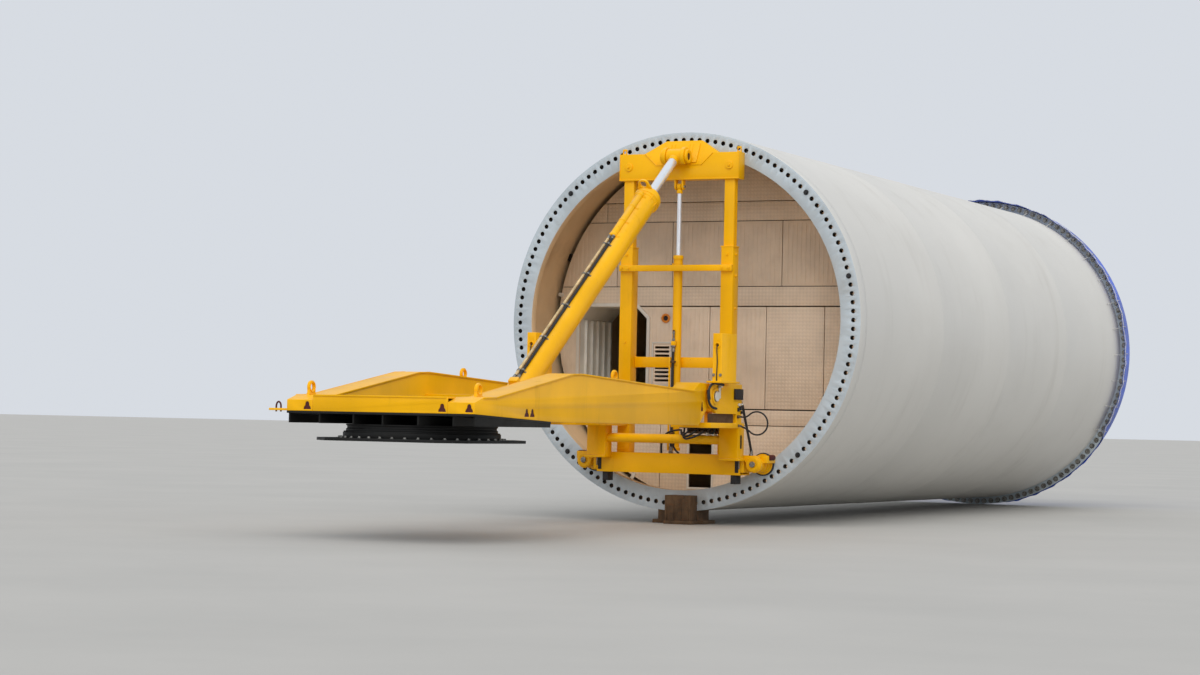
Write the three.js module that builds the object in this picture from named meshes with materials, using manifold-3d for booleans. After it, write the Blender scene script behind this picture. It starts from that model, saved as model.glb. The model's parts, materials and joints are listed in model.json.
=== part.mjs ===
// Wind turbine tower section lying on its side, held at its near flange by a yellow lifting adaptor.
// Millimetres, +Z up. The tower's axis runs along +Y, from the bolted near flange to the covered far flange.
// The tower frame has its zero on the axis at the near flange's face, and one group places it on the ground.
import * as THREE from 'three';
import { mergeVertices } from 'three/addons/utils/BufferGeometryUtils.js';
import Module from 'manifold-3d';

const wasm = await Module();
wasm.setup();

// Driving dimensions
const GAP = 0.3;                       // between faces that touch
const RING_SIDES = 72;
const PIN_SIDES = 24;

// Tower section
const TOWER_LENGTH = 15900;
const SHELL_R_NEAR = 3050;
const SHELL_R_FAR = 3100;
const SHELL_WALL = 40;
const SHELL_CANS = 4;
const NEAR_FLANGE_INNER_R = 2714;
const NEAR_FLANGE_THICK = 150;
const NEAR_NECK_END = 300;
const NEAR_BOLT_R = 2928;
const FAR_FLANGE_R = 3250;
const FAR_FLANGE_INNER_R = 2880;
const FAR_FLANGE_THICK = 120;
const FAR_NECK_START = TOWER_LENGTH - 350;
const FAR_BOLT_R = 3185;
const BOLT_HOLE_R = 36;
const CAD_HOLES = 12;                  // every eleventh of the 132 bolt holes
const HOLE_TURN = THREE.MathUtils.degToRad(0.82);

// Far end cover
const COVER_THICK = 14;
const COVER_SKIRT_R = FAR_FLANGE_R + GAP;
const COVER_SKIRT_THICK = 26;
const COVER_SKIRT_LENGTH = 430;
const COVER_SKIRT_HALF_ANGLE = THREE.MathUtils.degToRad(120);
const COVER_ARC_STEPS = 24;

// Platform inside the near end
const DECK_Y = 1450;                   // back face of the floor panels
const DECK_THICK = 30;
const DECK_R = 2930;
const DECK_RING_INNER_R = 2840;
const DECK_FRAME_DEPTH = 110;
const DECK_JOINT = 8;                  // gap between panels
const DECK_BRACKETS = 8;
const DECK_JOIST = 120;
const DECK_LINES = { upper: 1750, middleTop: 640, middleLow: 310, lowerTop: -1390 };
const LIFT_BAY = { x0: -2520, x1: -1270, z0: -1080, z1: 300, chamfer: 200 };
const LIFT_WELL_DEPTH = 1250;
const LIFT_WELL_WALL = 20;
const LIFT_WELL_RIBS = 5;
const VENT = { x0: -1140, x1: -820, z0: -1000, z1: -310 };
const PORT = { x: -920, z: 110, r: 70 };
const FLOOR_HATCH = { x0: -450, x1: -40, z0: -2700, z1: -1960 };

// Mast
const MAST_FRONT = -260;
const TOP_BEAM = { half: 1040, z0: 2270, z1: 2690, front: -240 };
const TOP_HUMP = { low: 660, high: 315, z: 2910 };
const TOP_SLOPE = { low: 396, high: 600, z: 2500, back: -30 };   // the beam's middle leans back from here
const ANCHOR = { half: 300, z0: 2530, z1: 2860, thick: 20 };
const ROD_PIN = { y: -360, z: 2620, r: 55 };
const LUG_INNER = 130;
const LUG_THICK = 60;
const LUG_R = 150;
const SLEEVE = { x0: 775, x1: 985, y0: MAST_FRONT, y1: -30, top: 1190 };
const POST = { x0: 795, x1: 965, y0: -215, y1: -65, foot: 590 };
const KEEPER_BAR = { half: 985, z0: 790, z1: 890, thick: 60 };
const LOW_BAR = { z0: -750, z1: -580, y0: -100, y1: -32 };
const LIFT_CYL = { y: -180, barrelR: 74, rodR: 37, barrelTop: 1050 };
const BEAM_WALL = 25;
const LOW_BEAM = { half: 1250, y0: -450, y1: -50, z0: -2440, z1: -2122 };

// Clamps at the lower beam's ends
const CLAMP_PIN = { x: 1470, z: -2260, r: 50 };
const FORK_R = 135;
const FORK_PLATES = [[-445, -375], [-130, -60]];
const JAW = { x0: 1617, x1: 1665, z0: -2240, z1: -2120, padR: 165, pad: 48 };

// Hinge brackets, legs and uprights
const HINGE = { y: -2000, z: -1220, pinR: 80, hubR: 200 };
const CHEEK_INNER = [920, 980];
const CHEEK_OUTER = [1410, 1470];
const CHEEK_TOP = -1020;
const CHEEK_BOTTOM = -1480;
const SHELF = { z0: -1700, z1: -1620, front: -2150 };
const LEG = { x0: 985, x1: 1310, y0: -700, z0: -2175, footOut: 30, footThick: 35 };
const SHIFT_TUBE = { y: -575, z: -1888, r: 73 };
const UPRIGHT = { x0: 1500, x1: 1650, y0: -2200, y1: -1620, top: -270, eyeR: 28, eyeZ: -450, plate: 30 };

// Arm
const GIRDER = { x0: 1000, x1: 1390, front: -9480, kink: -7300, back: -2420, wall: 22,
  frontZ: -1575, kinkZ: -1655, backZ: -1665 };
const GIRDER_END_R = 190;
const EYE_R = 84;
const EYE_HOLE_R = 45;
const EYE_THICK = 36;
const EYES_RIGHT = [[-9030, -1258], [-5000, -985]];
const EYES_LEFT = [[-9200, -1258], [-5080, -985]];
const LASHING_TAB = { reach: 330, y0: -9400, y1: -9200, z0: -1574, z1: -1544 };
const FRONT_BEAM = { y1: -9100, z0: -1575, z1: -1360 };
const DECK_PLATE = { y1: -6560, z0: -1570, z1: -1548 };
const UNDER_RIB_PLACES = [-1370, -913, -404, 32, 554, 1066, 1370];
const UNDER_RIB = { thick: 25, z0: -1730, y1: -7340 };
const SLEW = { y: -8350, outerR: 1000, innerR: 780, spigotR: 777.9, ringHeight: 90, gap: 0.4 };
const TURNTABLE = { plateHalf: 1130, plateThick: 40, corner: 330 };
const FOOT_BEAM = { y0: -6520, y1: -6280, z0: -1620, z1: -1300 };
const LUFF_FOOT = { y: -5950, z: -1470, pinR: 60, clearance: 16 };

// Luffing cylinder
const BARREL_R = 185;
const COLLAR_R = 215;
const COLLAR_LENGTH = 200;
const LUFF_ROD_R = 75;
const ROD_SHOWN = 1240;                // from the top pin to the barrel's mouth
const ROD_IN_BARREL = 1300;
const GLAND_LENGTH = 180;
const BARREL_BORE_R = 150;
const BARREL_FLOOR = 320;              // from the foot pin
const PISTON_LENGTH = 160;
const EYE_WIDTH = 250;
const HOSE_R = 22;
const HOSE_START = 420;                // from the foot pin, at the hose block
const PIPE_COVER_END = 1480;           // from the barrel's mouth

// Hoses that hang free between fittings
const HOSE_SIDES = 8;
const LIFT_HOSE_R = 24;
const HOSE_PORT = { half: 36, front: -330, z0: -400, z1: -330 };
const LIFT_HOSE_ROUTE = [
  [-6, -300, -400.3], [-6, -300, -460], [-8, -301, -560], [-9, -302, -700], [-9, -303, -900],
  [-8, -304, -1100], [-6, -305, -1300], [-4, -306, -1500], [-4, -307, -1700], [-6, -308, -1900],
  [-6, -308, -1990], [-6, -308, -2050], [-6, -308, -2095], [-6, -308, -2121.7],
];
const CLAMP_HOSE_R = 20;
const CLAMP_HOSE_ROUTE = [
  [1420, -949.7, -1300], [1420, -915, -1300], [1421, -868, -1308], [1422, -826, -1331], [1422, -795, -1362],
  [1421, -771, -1400], [1420, -743, -1450], [1420, -704, -1520], [1420, -654, -1610], [1420, -604, -1700],
  [1420, -554, -1790], [1420, -504, -1880], [1420, -462, -1958], [1420, -437, -2010], [1420, -418, -2060],
  [1420, -411, -2090], [1420, -410, -2123.6],
];
const LOOP = {
  x: 1790, z: -1615, y0: -1116, y1: -1086, r: 178, start: 2.55, sweep: 5.1, steps: 24, hoseR: 13,
  lead: [[1470.3, -1124, -1520], [1490, -1124, -1520], [1542, -1123, -1522], [1593, -1120, -1526]],
  tail: [[1594, -1083, -1708], [1545, -1081, -1680], [1512, -1080, -1663], [1490, -1080, -1658],
    [1470.3, -1080, -1658]],
};

// Transport foot under the near flange
const FOOT = { half: 450, bearerHalf: 350, x0: -110, x1: 335, plateThick: 60, front: -280, back: 450, top: -2790 };

// Materials
function paint(color, roughness = 0.45, metalness = 0) {
  return new THREE.MeshStandardMaterial({ color, roughness, metalness });
}

const MATERIALS = {
  shell_white: paint(0xd9d8d3, 0.5),
  flange_grey: paint(0xc4cbd0, 0.55, 0.3),
  deck_beige: paint(0xb3a590, 0.75, 0.2),
  frame_pale: paint(0xd2cdc0, 0.6),
  dark_metal: paint(0x34342f, 0.8, 0.3),
  crane_yellow: paint(0xe0a60e, 0.38),
  chrome_rod: paint(0xc8cbce, 0.15, 1),
  pin_steel: paint(0x6b5a48, 0.5, 0.8),
  rust_brown: paint(0x5f4a35, 0.85, 0.3),
  cover_blue: paint(0x2d5fae, 0.7),
  hose_black: paint(0x17171a, 0.6),
  hose_cream: paint(0xdcc59a, 0.6),
  port_orange: paint(0xd98a2b, 0.5),
};

const tower = new THREE.Group();       // all that is fixed to the tower's frame
const group = new THREE.Group();
group.add(tower);

// Turns any geometry into one clean indexed body whose faces point out
function closed(geometry) {
  const bare = geometry.clone();
  bare.deleteAttribute('normal');
  bare.deleteAttribute('uv');
  const merged = mergeVertices(bare, 0.01);
  const p = merged.attributes.position.array;
  const source = merged.index.array;
  const kept = [];
  for (let i = 0; i < source.length; i += 3) {
    const [a, b, c] = [source[i], source[i + 1], source[i + 2]];
    if (a !== b && b !== c && c !== a) kept.push(a, b, c);
  }
  let volume = 0;
  for (let i = 0; i < kept.length; i += 3) {
    const [a, b, c] = [kept[i] * 3, kept[i + 1] * 3, kept[i + 2] * 3];
    volume += p[a] * (p[b + 1] * p[c + 2] - p[b + 2] * p[c + 1])
      - p[a + 1] * (p[b] * p[c + 2] - p[b + 2] * p[c])
      + p[a + 2] * (p[b] * p[c + 1] - p[b + 1] * p[c]);
  }
  if (volume < 0) {
    for (let i = 0; i < kept.length; i += 3) [kept[i + 1], kept[i + 2]] = [kept[i + 2], kept[i + 1]];
  }
  merged.setIndex(kept);
  return merged;
}

function toManifold(geometry) {
  const body = closed(geometry);
  return new wasm.Manifold(new wasm.Mesh({
    numProp: 3,
    vertProperties: new Float32Array(body.attributes.position.array),
    triVerts: new Uint32Array(body.index.array),
  }));
}

function fromManifold(solid) {
  const mesh = solid.getMesh();
  const geometry = new THREE.BufferGeometry();
  geometry.setAttribute('position', new THREE.BufferAttribute(new Float32Array(mesh.vertProperties), 3));
  geometry.setIndex(new THREE.BufferAttribute(new Uint32Array(mesh.triVerts), 1));
  return geometry;
}

function join(...pieces) {
  return fromManifold(pieces.map(toManifold).reduce((sum, piece) => sum.add(piece)));
}

function cut(base, ...tools) {
  return fromManifold(tools.map(toManifold).reduce((rest, tool) => rest.subtract(tool), toManifold(base)));
}

function common(a, b) {
  return fromManifold(toManifold(a).intersect(toManifold(b)));
}

function box(x0, x1, y0, y1, z0, z1) {
  const geometry = new THREE.BoxGeometry(Math.abs(x1 - x0), y1 - y0, z1 - z0);
  return geometry.translate((x0 + x1) / 2, (y0 + y1) / 2, (z0 + z1) / 2);
}

// The radius of a bore with flat sides that clears a pin of this radius
const boreFor = (r, sides) => (r + GAP) / Math.cos(Math.PI / sides);

const outline = (points) => new THREE.Shape(points.map(([u, v]) => new THREE.Vector2(u, v)));

// An outline in Y and Z, extruded from x0 to x1
function alongX(shape, x0, x1, curveSegments = 16) {
  const geometry = new THREE.ExtrudeGeometry(shape, { depth: x1 - x0, bevelEnabled: false, curveSegments });
  const turn = new THREE.Matrix4().makeBasis(
    new THREE.Vector3(0, 1, 0), new THREE.Vector3(0, 0, 1), new THREE.Vector3(1, 0, 0));
  return geometry.applyMatrix4(turn).translate(x0, 0, 0);
}

// An outline in X and Z, extruded from y0 to y1
function alongY(shape, y0, y1, curveSegments = 16) {
  const geometry = new THREE.ExtrudeGeometry(shape, { depth: y1 - y0, bevelEnabled: false, curveSegments });
  const turn = new THREE.Matrix4().makeBasis(
    new THREE.Vector3(1, 0, 0), new THREE.Vector3(0, 0, 1), new THREE.Vector3(0, -1, 0));
  return geometry.applyMatrix4(turn).translate(0, y1, 0);
}

// An outline in X and Y, extruded from z0 to z1
function alongZ(shape, z0, z1, curveSegments = 16) {
  const geometry = new THREE.ExtrudeGeometry(shape, { depth: z1 - z0, bevelEnabled: false, curveSegments });
  return geometry.translate(0, 0, z0);
}

function cylinderX(r, x0, x1, y, z, sides = PIN_SIDES) {
  return new THREE.CylinderGeometry(r, r, x1 - x0, sides).rotateZ(Math.PI / 2).translate((x0 + x1) / 2, y, z);
}

function cylinderY(r, y0, y1, x, z, sides = PIN_SIDES) {
  return new THREE.CylinderGeometry(r, r, y1 - y0, sides).translate(x, (y0 + y1) / 2, z);
}

function cylinderZ(r, z0, z1, x, y, sides = PIN_SIDES) {
  return new THREE.CylinderGeometry(r, r, z1 - z0, sides).rotateX(Math.PI / 2).translate(x, y, (z0 + z1) / 2);
}

// A ring about the tower's axis, from its closed profile of radius and Y
function ring(profile, sides = RING_SIDES) {
  const points = [...profile, profile[0]].map(([r, y]) => new THREE.Vector2(r, y));
  return new THREE.LatheGeometry(points, sides);
}

function mirrorX(geometry) {
  return closed(geometry.clone().scale(-1, 1, 1));
}

function add(name, geometry, material, parent = tower) {
  const body = closed(geometry);
  body.computeVertexNormals();
  const mesh = new THREE.Mesh(body, MATERIALS[material]);
  mesh.name = name;
  parent.add(mesh);
  return mesh;
}

// The same piece on both sides: the right one is modelled, the left one is its mirror image
function addPair(name, geometry, material) {
  add(`${name}_right`, geometry, material);
  add(`${name}_left`, mirrorX(geometry), material);
}

// Height of the girders' bottom, which drops to the kink and then runs nearly level
const girderBottom = (y) => (y < GIRDER.kink
  ? GIRDER.frontZ + (GIRDER.kinkZ - GIRDER.frontZ) * (y - GIRDER.front) / (GIRDER.kink - GIRDER.front)
  : GIRDER.kinkZ + (GIRDER.backZ - GIRDER.kinkZ) * (y - GIRDER.kink) / (GIRDER.back - GIRDER.kink));
const shellR = (y) => SHELL_R_NEAR + (SHELL_R_FAR - SHELL_R_NEAR) * y / TOWER_LENGTH;

// Bolt hole cutters on a circle, through a flange from y0 to y1
function holeCutters(circleR, y0, y1) {
  const cutters = [];
  for (let i = 0; i < CAD_HOLES; i += 1) {
    const angle = (i + 0.5) / CAD_HOLES * 2 * Math.PI + HOLE_TURN;
    cutters.push(cylinderY(BOLT_HOLE_R, y0, y1, circleR * Math.sin(angle), circleR * Math.cos(angle), 12));
  }
  return cutters;
}

function makeTower() {
  const nearFlange = ring([
    [NEAR_FLANGE_INNER_R, 0], [shellR(0), 0], [shellR(NEAR_NECK_END), NEAR_NECK_END],
    [shellR(NEAR_NECK_END) - SHELL_WALL, NEAR_NECK_END],
    [shellR(0) - SHELL_WALL - 20, NEAR_FLANGE_THICK + 30],
    [shellR(0) - SHELL_WALL - 50, NEAR_FLANGE_THICK], [NEAR_FLANGE_INNER_R, NEAR_FLANGE_THICK],
  ]);
  const nearHoles = holeCutters(NEAR_BOLT_R, -50, NEAR_FLANGE_THICK + 50);
  add('near_flange', cut(nearFlange, ...nearHoles), 'flange_grey');

  const canLength = (FAR_NECK_START - NEAR_NECK_END) / SHELL_CANS;
  for (let i = 0; i < SHELL_CANS; i += 1) {
    const y0 = NEAR_NECK_END + i * canLength + GAP;
    const y1 = NEAR_NECK_END + (i + 1) * canLength;
    const can = ring([
      [shellR(y0), y0], [shellR(y1), y1], [shellR(y1) - SHELL_WALL, y1], [shellR(y0) - SHELL_WALL, y0],
    ]);
    add(`shell_can_${i + 1}`, can, 'shell_white');
  }

  const faceY = TOWER_LENGTH - FAR_FLANGE_THICK;
  const farFlange = ring([
    [shellR(FAR_NECK_START), FAR_NECK_START + GAP], [shellR(faceY), faceY], [FAR_FLANGE_R, faceY],
    [FAR_FLANGE_R, TOWER_LENGTH], [FAR_FLANGE_INNER_R, TOWER_LENGTH], [FAR_FLANGE_INNER_R, faceY],
    [shellR(faceY) - SHELL_WALL, faceY], [shellR(FAR_NECK_START) - SHELL_WALL, FAR_NECK_START + GAP],
  ]);
  add('far_flange', cut(farFlange, ...holeCutters(FAR_BOLT_R, faceY - 50, TOWER_LENGTH + 50)), 'flange_grey');
}

// A blue cover closes the far end, and its skirt wraps over the upper part of the far flange
function makeCover() {
  const back = TOWER_LENGTH + GAP + COVER_THICK;
  const disc = cylinderY(COVER_SKIRT_R + 2, TOWER_LENGTH + GAP, back, 0, 0, RING_SIDES);
  const reach = COVER_SKIRT_R + 20;
  const low = box(-reach, reach, TOWER_LENGTH, back + 10, -reach, -FAR_FLANGE_R + 60);
  const start = Math.PI / 2 - COVER_SKIRT_HALF_ANGLE;
  const end = Math.PI / 2 + COVER_SKIRT_HALF_ANGLE;
  const sector = new THREE.Shape();
  sector.absarc(0, 0, COVER_SKIRT_R + COVER_SKIRT_THICK, start, end, false);
  sector.absarc(0, 0, COVER_SKIRT_R, end, start, true);
  sector.closePath();
  const skirt = alongY(sector, back - COVER_SKIRT_LENGTH, back, COVER_ARC_STEPS);
  add('end_cover', join(cut(disc, low), skirt), 'cover_blue');
}

function liftBayOutline(grow) {
  const { x0, x1, z0, z1, chamfer } = LIFT_BAY;
  return [
    [x0 - grow, z0 - grow], [x1 + grow, z0 - grow], [x1 + grow, z1 - chamfer], [x1 - chamfer, z1 + grow],
    [x0 + chamfer, z1 + grow], [x0 - grow, z1 - chamfer],
  ];
}

// The bolting platform: a ring and joists on brackets, with floor panels, a lift bay, a vent and a port
function makePlatform() {
  const front = DECK_Y - DECK_THICK;
  const frameY = DECK_Y + GAP;
  const frameBack = frameY + DECK_FRAME_DEPTH;
  const shellInner = shellR(DECK_Y) - SHELL_WALL;
  const rim = ring([
    [DECK_RING_INNER_R, frameY], [DECK_R, frameY], [DECK_R, frameBack], [DECK_RING_INNER_R, frameBack],
  ]);
  const disc = cylinderY(DECK_R - 20, frameY, frameBack, 0, 0, RING_SIDES);
  const joists = [DECK_LINES.upper, DECK_LINES.middleTop - 40, DECK_LINES.lowerTop].map((z) =>
    common(disc, box(-DECK_R, DECK_R, frameY, frameBack, z - DECK_JOIST / 2, z + DECK_JOIST / 2)));
  const brackets = [];
  const bracketTop = shellInner * Math.cos(Math.PI / RING_SIDES) - GAP;
  for (let i = 0; i < DECK_BRACKETS; i += 1) {
    const bracket = box(-60, 60, frameY, frameBack, DECK_R - 30, bracketTop);
    brackets.push(bracket.rotateY((i + 0.5) / DECK_BRACKETS * 2 * Math.PI));
  }
  add('platform_frame', join(rim, ...joists, ...brackets), 'dark_metal');

  const panel = (z0, z1) => common(cylinderY(DECK_R, front, DECK_Y, 0, 0, RING_SIDES),
    box(-DECK_R - 50, DECK_R + 50, front - 50, DECK_Y + 50, z0, z1));
  const half = DECK_JOINT / 2;
  add('platform_upper_panels', panel(DECK_LINES.middleLow + half, DECK_R + 50), 'deck_beige');

  const bay = alongY(outline(liftBayOutline(0)), front - 50, DECK_Y + 50);
  const vent = box(VENT.x0, VENT.x1, front - 50, DECK_Y + 50, VENT.z0, VENT.z1);
  const port = cylinderY(PORT.r, front - 50, DECK_Y + 50, PORT.x, PORT.z);
  const middle = panel(DECK_LINES.lowerTop + half, DECK_LINES.middleLow - half);
  add('platform_lift_panels', cut(middle, bay, vent, port), 'deck_beige');

  const hatch = box(FLOOR_HATCH.x0, FLOOR_HATCH.x1, front - 50, DECK_Y + 50, FLOOR_HATCH.z0, FLOOR_HATCH.z1);
  add('platform_lower_panels', cut(panel(-DECK_R - 50, DECK_LINES.lowerTop - half), hatch), 'deck_beige');

  const wellShape = outline(liftBayOutline(LIFT_WELL_WALL));
  wellShape.holes.push(outline(liftBayOutline(0)));
  const well = alongY(wellShape, DECK_Y + GAP, DECK_Y + LIFT_WELL_DEPTH);
  const ribs = [];
  for (let i = 0; i < LIFT_WELL_RIBS; i += 1) {
    const y = DECK_Y + (i + 0.7) * LIFT_WELL_DEPTH / (LIFT_WELL_RIBS + 0.4);
    const ribTop = LIFT_BAY.z1 - LIFT_BAY.chamfer - 20;
    ribs.push(box(LIFT_BAY.x0 - 5, LIFT_BAY.x0 + 45, y, y + 45, LIFT_BAY.z0 - 5, ribTop));
  }
  add('lift_well', join(well, ...ribs), 'frame_pale');

  const slots = [];
  const pitch = (VENT.z1 - VENT.z0) / 10;
  for (let i = 0; i < 9; i += 1) {
    const z = VENT.z0 + (i + 1) * pitch;
    slots.push(box(VENT.x0 + 30, VENT.x1 - 30, front - 50, DECK_Y + 50, z - pitch * 0.28, z + pitch * 0.28));
  }
  const grille = box(VENT.x0 + GAP, VENT.x1 - GAP, front + 4, DECK_Y - 4, VENT.z0 + GAP, VENT.z1 - GAP);
  add('vent_grille', cut(grille, ...slots), 'deck_beige');

  const portRing = cylinderY(PORT.r - GAP, front - 18, DECK_Y - 2, PORT.x, PORT.z);
  const portBore = cylinderY(PORT.r - 26, front - 60, DECK_Y + 60, PORT.x, PORT.z);
  add('round_port', cut(portRing, portBore), 'port_orange');
}

// The upright frame on the flange's face: top beam, telescoping posts, lift cylinder and lower beam
function makeMast() {
  const slopeRise = TOP_HUMP.z - TOP_SLOPE.z;
  const aboveHump = TOP_HUMP.z + 20;
  const slopeY = (z) => TOP_BEAM.front + (TOP_SLOPE.back - TOP_BEAM.front) * (z - TOP_SLOPE.z) / slopeRise;
  const ahead = (wall) => alongX(outline([
    [slopeY(TOP_SLOPE.z) + wall, TOP_SLOPE.z - wall], [slopeY(aboveHump) + wall, aboveHump],
    [-500, aboveHump], [-500, TOP_SLOPE.z - wall],
  ]), -TOP_SLOPE.high - wall, TOP_SLOPE.high + wall);
  const band = box(-TOP_BEAM.half, TOP_BEAM.half, TOP_BEAM.front, -GAP, TOP_BEAM.z0, TOP_BEAM.z1);
  const notch = common(ahead(0), alongY(outline([
    [-TOP_SLOPE.low, TOP_SLOPE.z], [TOP_SLOPE.low, TOP_SLOPE.z], [TOP_SLOPE.high, TOP_BEAM.z1 + 10],
    [-TOP_SLOPE.high, TOP_BEAM.z1 + 10],
  ]), -400, 0));
  const beamInside = cut(box(-TOP_BEAM.half + BEAM_WALL, TOP_BEAM.half - BEAM_WALL, TOP_BEAM.front + BEAM_WALL,
    -BEAM_WALL, TOP_BEAM.z0 + BEAM_WALL, TOP_BEAM.z1 - BEAM_WALL), ahead(BEAM_WALL));
  const backHole = box(-250, 250, -BEAM_WALL - 50, 50, TOP_BEAM.z0 + 120, TOP_BEAM.z1 - 120);
  const hump = common(alongY(outline([
    [-TOP_HUMP.low, TOP_BEAM.z1 - 1], [TOP_HUMP.low, TOP_BEAM.z1 - 1], [TOP_HUMP.high, TOP_HUMP.z],
    [-TOP_HUMP.high, TOP_HUMP.z],
  ]), TOP_BEAM.front, -GAP), alongX(outline([
    [slopeY(TOP_SLOPE.z), TOP_SLOPE.z], [0, TOP_SLOPE.z], [0, aboveHump], [slopeY(aboveHump), aboveHump],
  ]), -TOP_HUMP.low, TOP_HUMP.low));
  const lug = (side) => box(side * 1005 - 35, side * 1005 + 35, -150, -110, TOP_BEAM.z1 - 10, TOP_BEAM.z1 + 95);
  add('top_crossbeam', join(cut(band, notch, beamInside, backHole), hump, lug(-1), lug(1)), 'crane_yellow');

  // The pin's two lugs stand square on a plate that lies on the sloped middle
  const slope = Math.atan2(slopeRise, TOP_SLOPE.back - TOP_BEAM.front);
  const onSlope = (z, out) => [slopeY(z) - out * Math.sin(slope), z + out * Math.cos(slope)];
  const plate = alongX(outline([
    onSlope(ANCHOR.z0, GAP), onSlope(ANCHOR.z1, GAP), onSlope(ANCHOR.z1, ANCHOR.thick),
    onSlope(ANCHOR.z0, ANCHOR.thick),
  ]), -ANCHOR.half, ANCHOR.half);
  const lugShape = () => {
    const shape = new THREE.Shape();
    shape.moveTo(...onSlope(ANCHOR.z1 - 10, ANCHOR.thick / 2));
    shape.absarc(ROD_PIN.y, ROD_PIN.z, LUG_R, slope, slope + Math.PI, false);
    shape.lineTo(...onSlope(ANCHOR.z0 + 5, ANCHOR.thick / 2));
    shape.closePath();
    return shape;
  };
  const lugs = [-1, 1].map((side) => alongX(lugShape(), side > 0 ? LUG_INNER : -LUG_INNER - LUG_THICK,
    side > 0 ? LUG_INNER + LUG_THICK : -LUG_INNER, 12));
  const pinHole = cylinderX(boreFor(ROD_PIN.r, PIN_SIDES), -400, 400, ROD_PIN.y, ROD_PIN.z);
  add('rod_anchor', cut(join(plate, ...lugs), pinHole), 'crane_yellow');
  add('rod_pin', cylinderX(ROD_PIN.r, -230, 230, ROD_PIN.y, ROD_PIN.z), 'pin_steel');

  const sleeveFoot = LOW_BEAM.z1 + GAP;
  const sleeve = cut(
    box(SLEEVE.x0, SLEEVE.x1, SLEEVE.y0, SLEEVE.y1, sleeveFoot, SLEEVE.top),
    box(POST.x0 - GAP, POST.x1 + GAP, POST.y0 - GAP, POST.y1 + GAP, POST.foot - GAP, SLEEVE.top + 50));
  addPair('mast_sleeve', sleeve, 'crane_yellow');
  addPair('mast_post', box(POST.x0, POST.x1, POST.y0, POST.y1, POST.foot, TOP_BEAM.z0 - GAP), 'crane_yellow');

  const barFront = MAST_FRONT - GAP - KEEPER_BAR.thick;
  const keeper = box(-KEEPER_BAR.half, KEEPER_BAR.half, barFront, MAST_FRONT - GAP,
    KEEPER_BAR.z0, KEEPER_BAR.z1);
  add('keeper_bar', keeper, 'crane_yellow');
  const lowHalf = SLEEVE.x0 - GAP;
  const lowBar = box(-lowHalf, lowHalf, LOW_BAR.y0, LOW_BAR.y1, LOW_BAR.z0, LOW_BAR.z1);
  add('lower_crossbar', lowBar, 'crane_yellow');

  const barrel = cylinderZ(LIFT_CYL.barrelR, LOW_BEAM.z1 + GAP, LIFT_CYL.barrelTop, 0, LIFT_CYL.y);
  const bore = cylinderZ(boreFor(LIFT_CYL.rodR, PIN_SIDES), 300, LIFT_CYL.barrelTop + 50, 0, LIFT_CYL.y);
  const keeperClamp = box(-60, 60, MAST_FRONT, LIFT_CYL.y - 60, KEEPER_BAR.z0, KEEPER_BAR.z1);
  const port = box(-HOSE_PORT.half, HOSE_PORT.half, HOSE_PORT.front, LIFT_CYL.y - 60, HOSE_PORT.z0, HOSE_PORT.z1);
  add('lift_cylinder_barrel', join(cut(barrel, bore), keeperClamp, port), 'crane_yellow');
  const rod = cylinderZ(LIFT_CYL.rodR, 350, TOP_BEAM.z0 - 120, 0, LIFT_CYL.y);
  const clevis = box(-75, 75, LIFT_CYL.y - 45, LIFT_CYL.y + 45, TOP_BEAM.z0 - 175, TOP_BEAM.z0 - GAP);
  add('lift_cylinder_rod', join(rod, clevis), 'chrome_rod');

  const t = BEAM_WALL;
  const tube = box(-LOW_BEAM.half, LOW_BEAM.half, LOW_BEAM.y0, LOW_BEAM.y1, LOW_BEAM.z0, LOW_BEAM.z1);
  const inside = box(-LOW_BEAM.half - 50, LOW_BEAM.half + 50, LOW_BEAM.y0 + t, LOW_BEAM.y1 - t,
    LOW_BEAM.z0 + t, LOW_BEAM.z1 - t);
  add('lower_crossbeam', cut(tube, inside), 'crane_yellow');
}

// Forks at the lower beam's ends, each with a jaw that grips the flange's face
function makeClamps() {
  const shape = new THREE.Shape();
  shape.moveTo(LOW_BEAM.half + GAP, CLAMP_PIN.z - FORK_R);
  shape.absarc(CLAMP_PIN.x, CLAMP_PIN.z, FORK_R, -Math.PI / 2, Math.PI / 2, false);
  shape.lineTo(LOW_BEAM.half + GAP, CLAMP_PIN.z + FORK_R);
  shape.closePath();
  const plates = FORK_PLATES.map(([y0, y1]) => alongY(shape, y0, y1, 10));
  const web = box(LOW_BEAM.half + GAP, LOW_BEAM.half + 60, FORK_PLATES[0][0], FORK_PLATES[1][1],
    CLAMP_PIN.z - FORK_R, CLAMP_PIN.z + FORK_R);
  const pin = cylinderY(CLAMP_PIN.r, FORK_PLATES[0][0] - 30, FORK_PLATES[1][1] + 20,
    CLAMP_PIN.x, CLAMP_PIN.z, 16);
  addPair('clamp_fork', join(...plates, web, pin), 'crane_yellow');

  const drum = cylinderY(FORK_R - 15, -365, -140, CLAMP_PIN.x, CLAMP_PIN.z, 20);
  const reach = box(1540, JAW.x1, -340, -160, JAW.z0, JAW.z1);
  const toe = box(JAW.x0, JAW.x1, -260, -GAP, JAW.z0, JAW.z1);
  const pad = cylinderY(JAW.padR, -JAW.pad, -GAP, CLAMP_PIN.x, CLAMP_PIN.z, 28);
  const bore = cylinderY(boreFor(CLAMP_PIN.r, 16), -600, 0, CLAMP_PIN.x, CLAMP_PIN.z, 16);
  addPair('clamp_jaw', cut(join(drum, reach, toe, pad), bore), 'crane_yellow');
}

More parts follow.
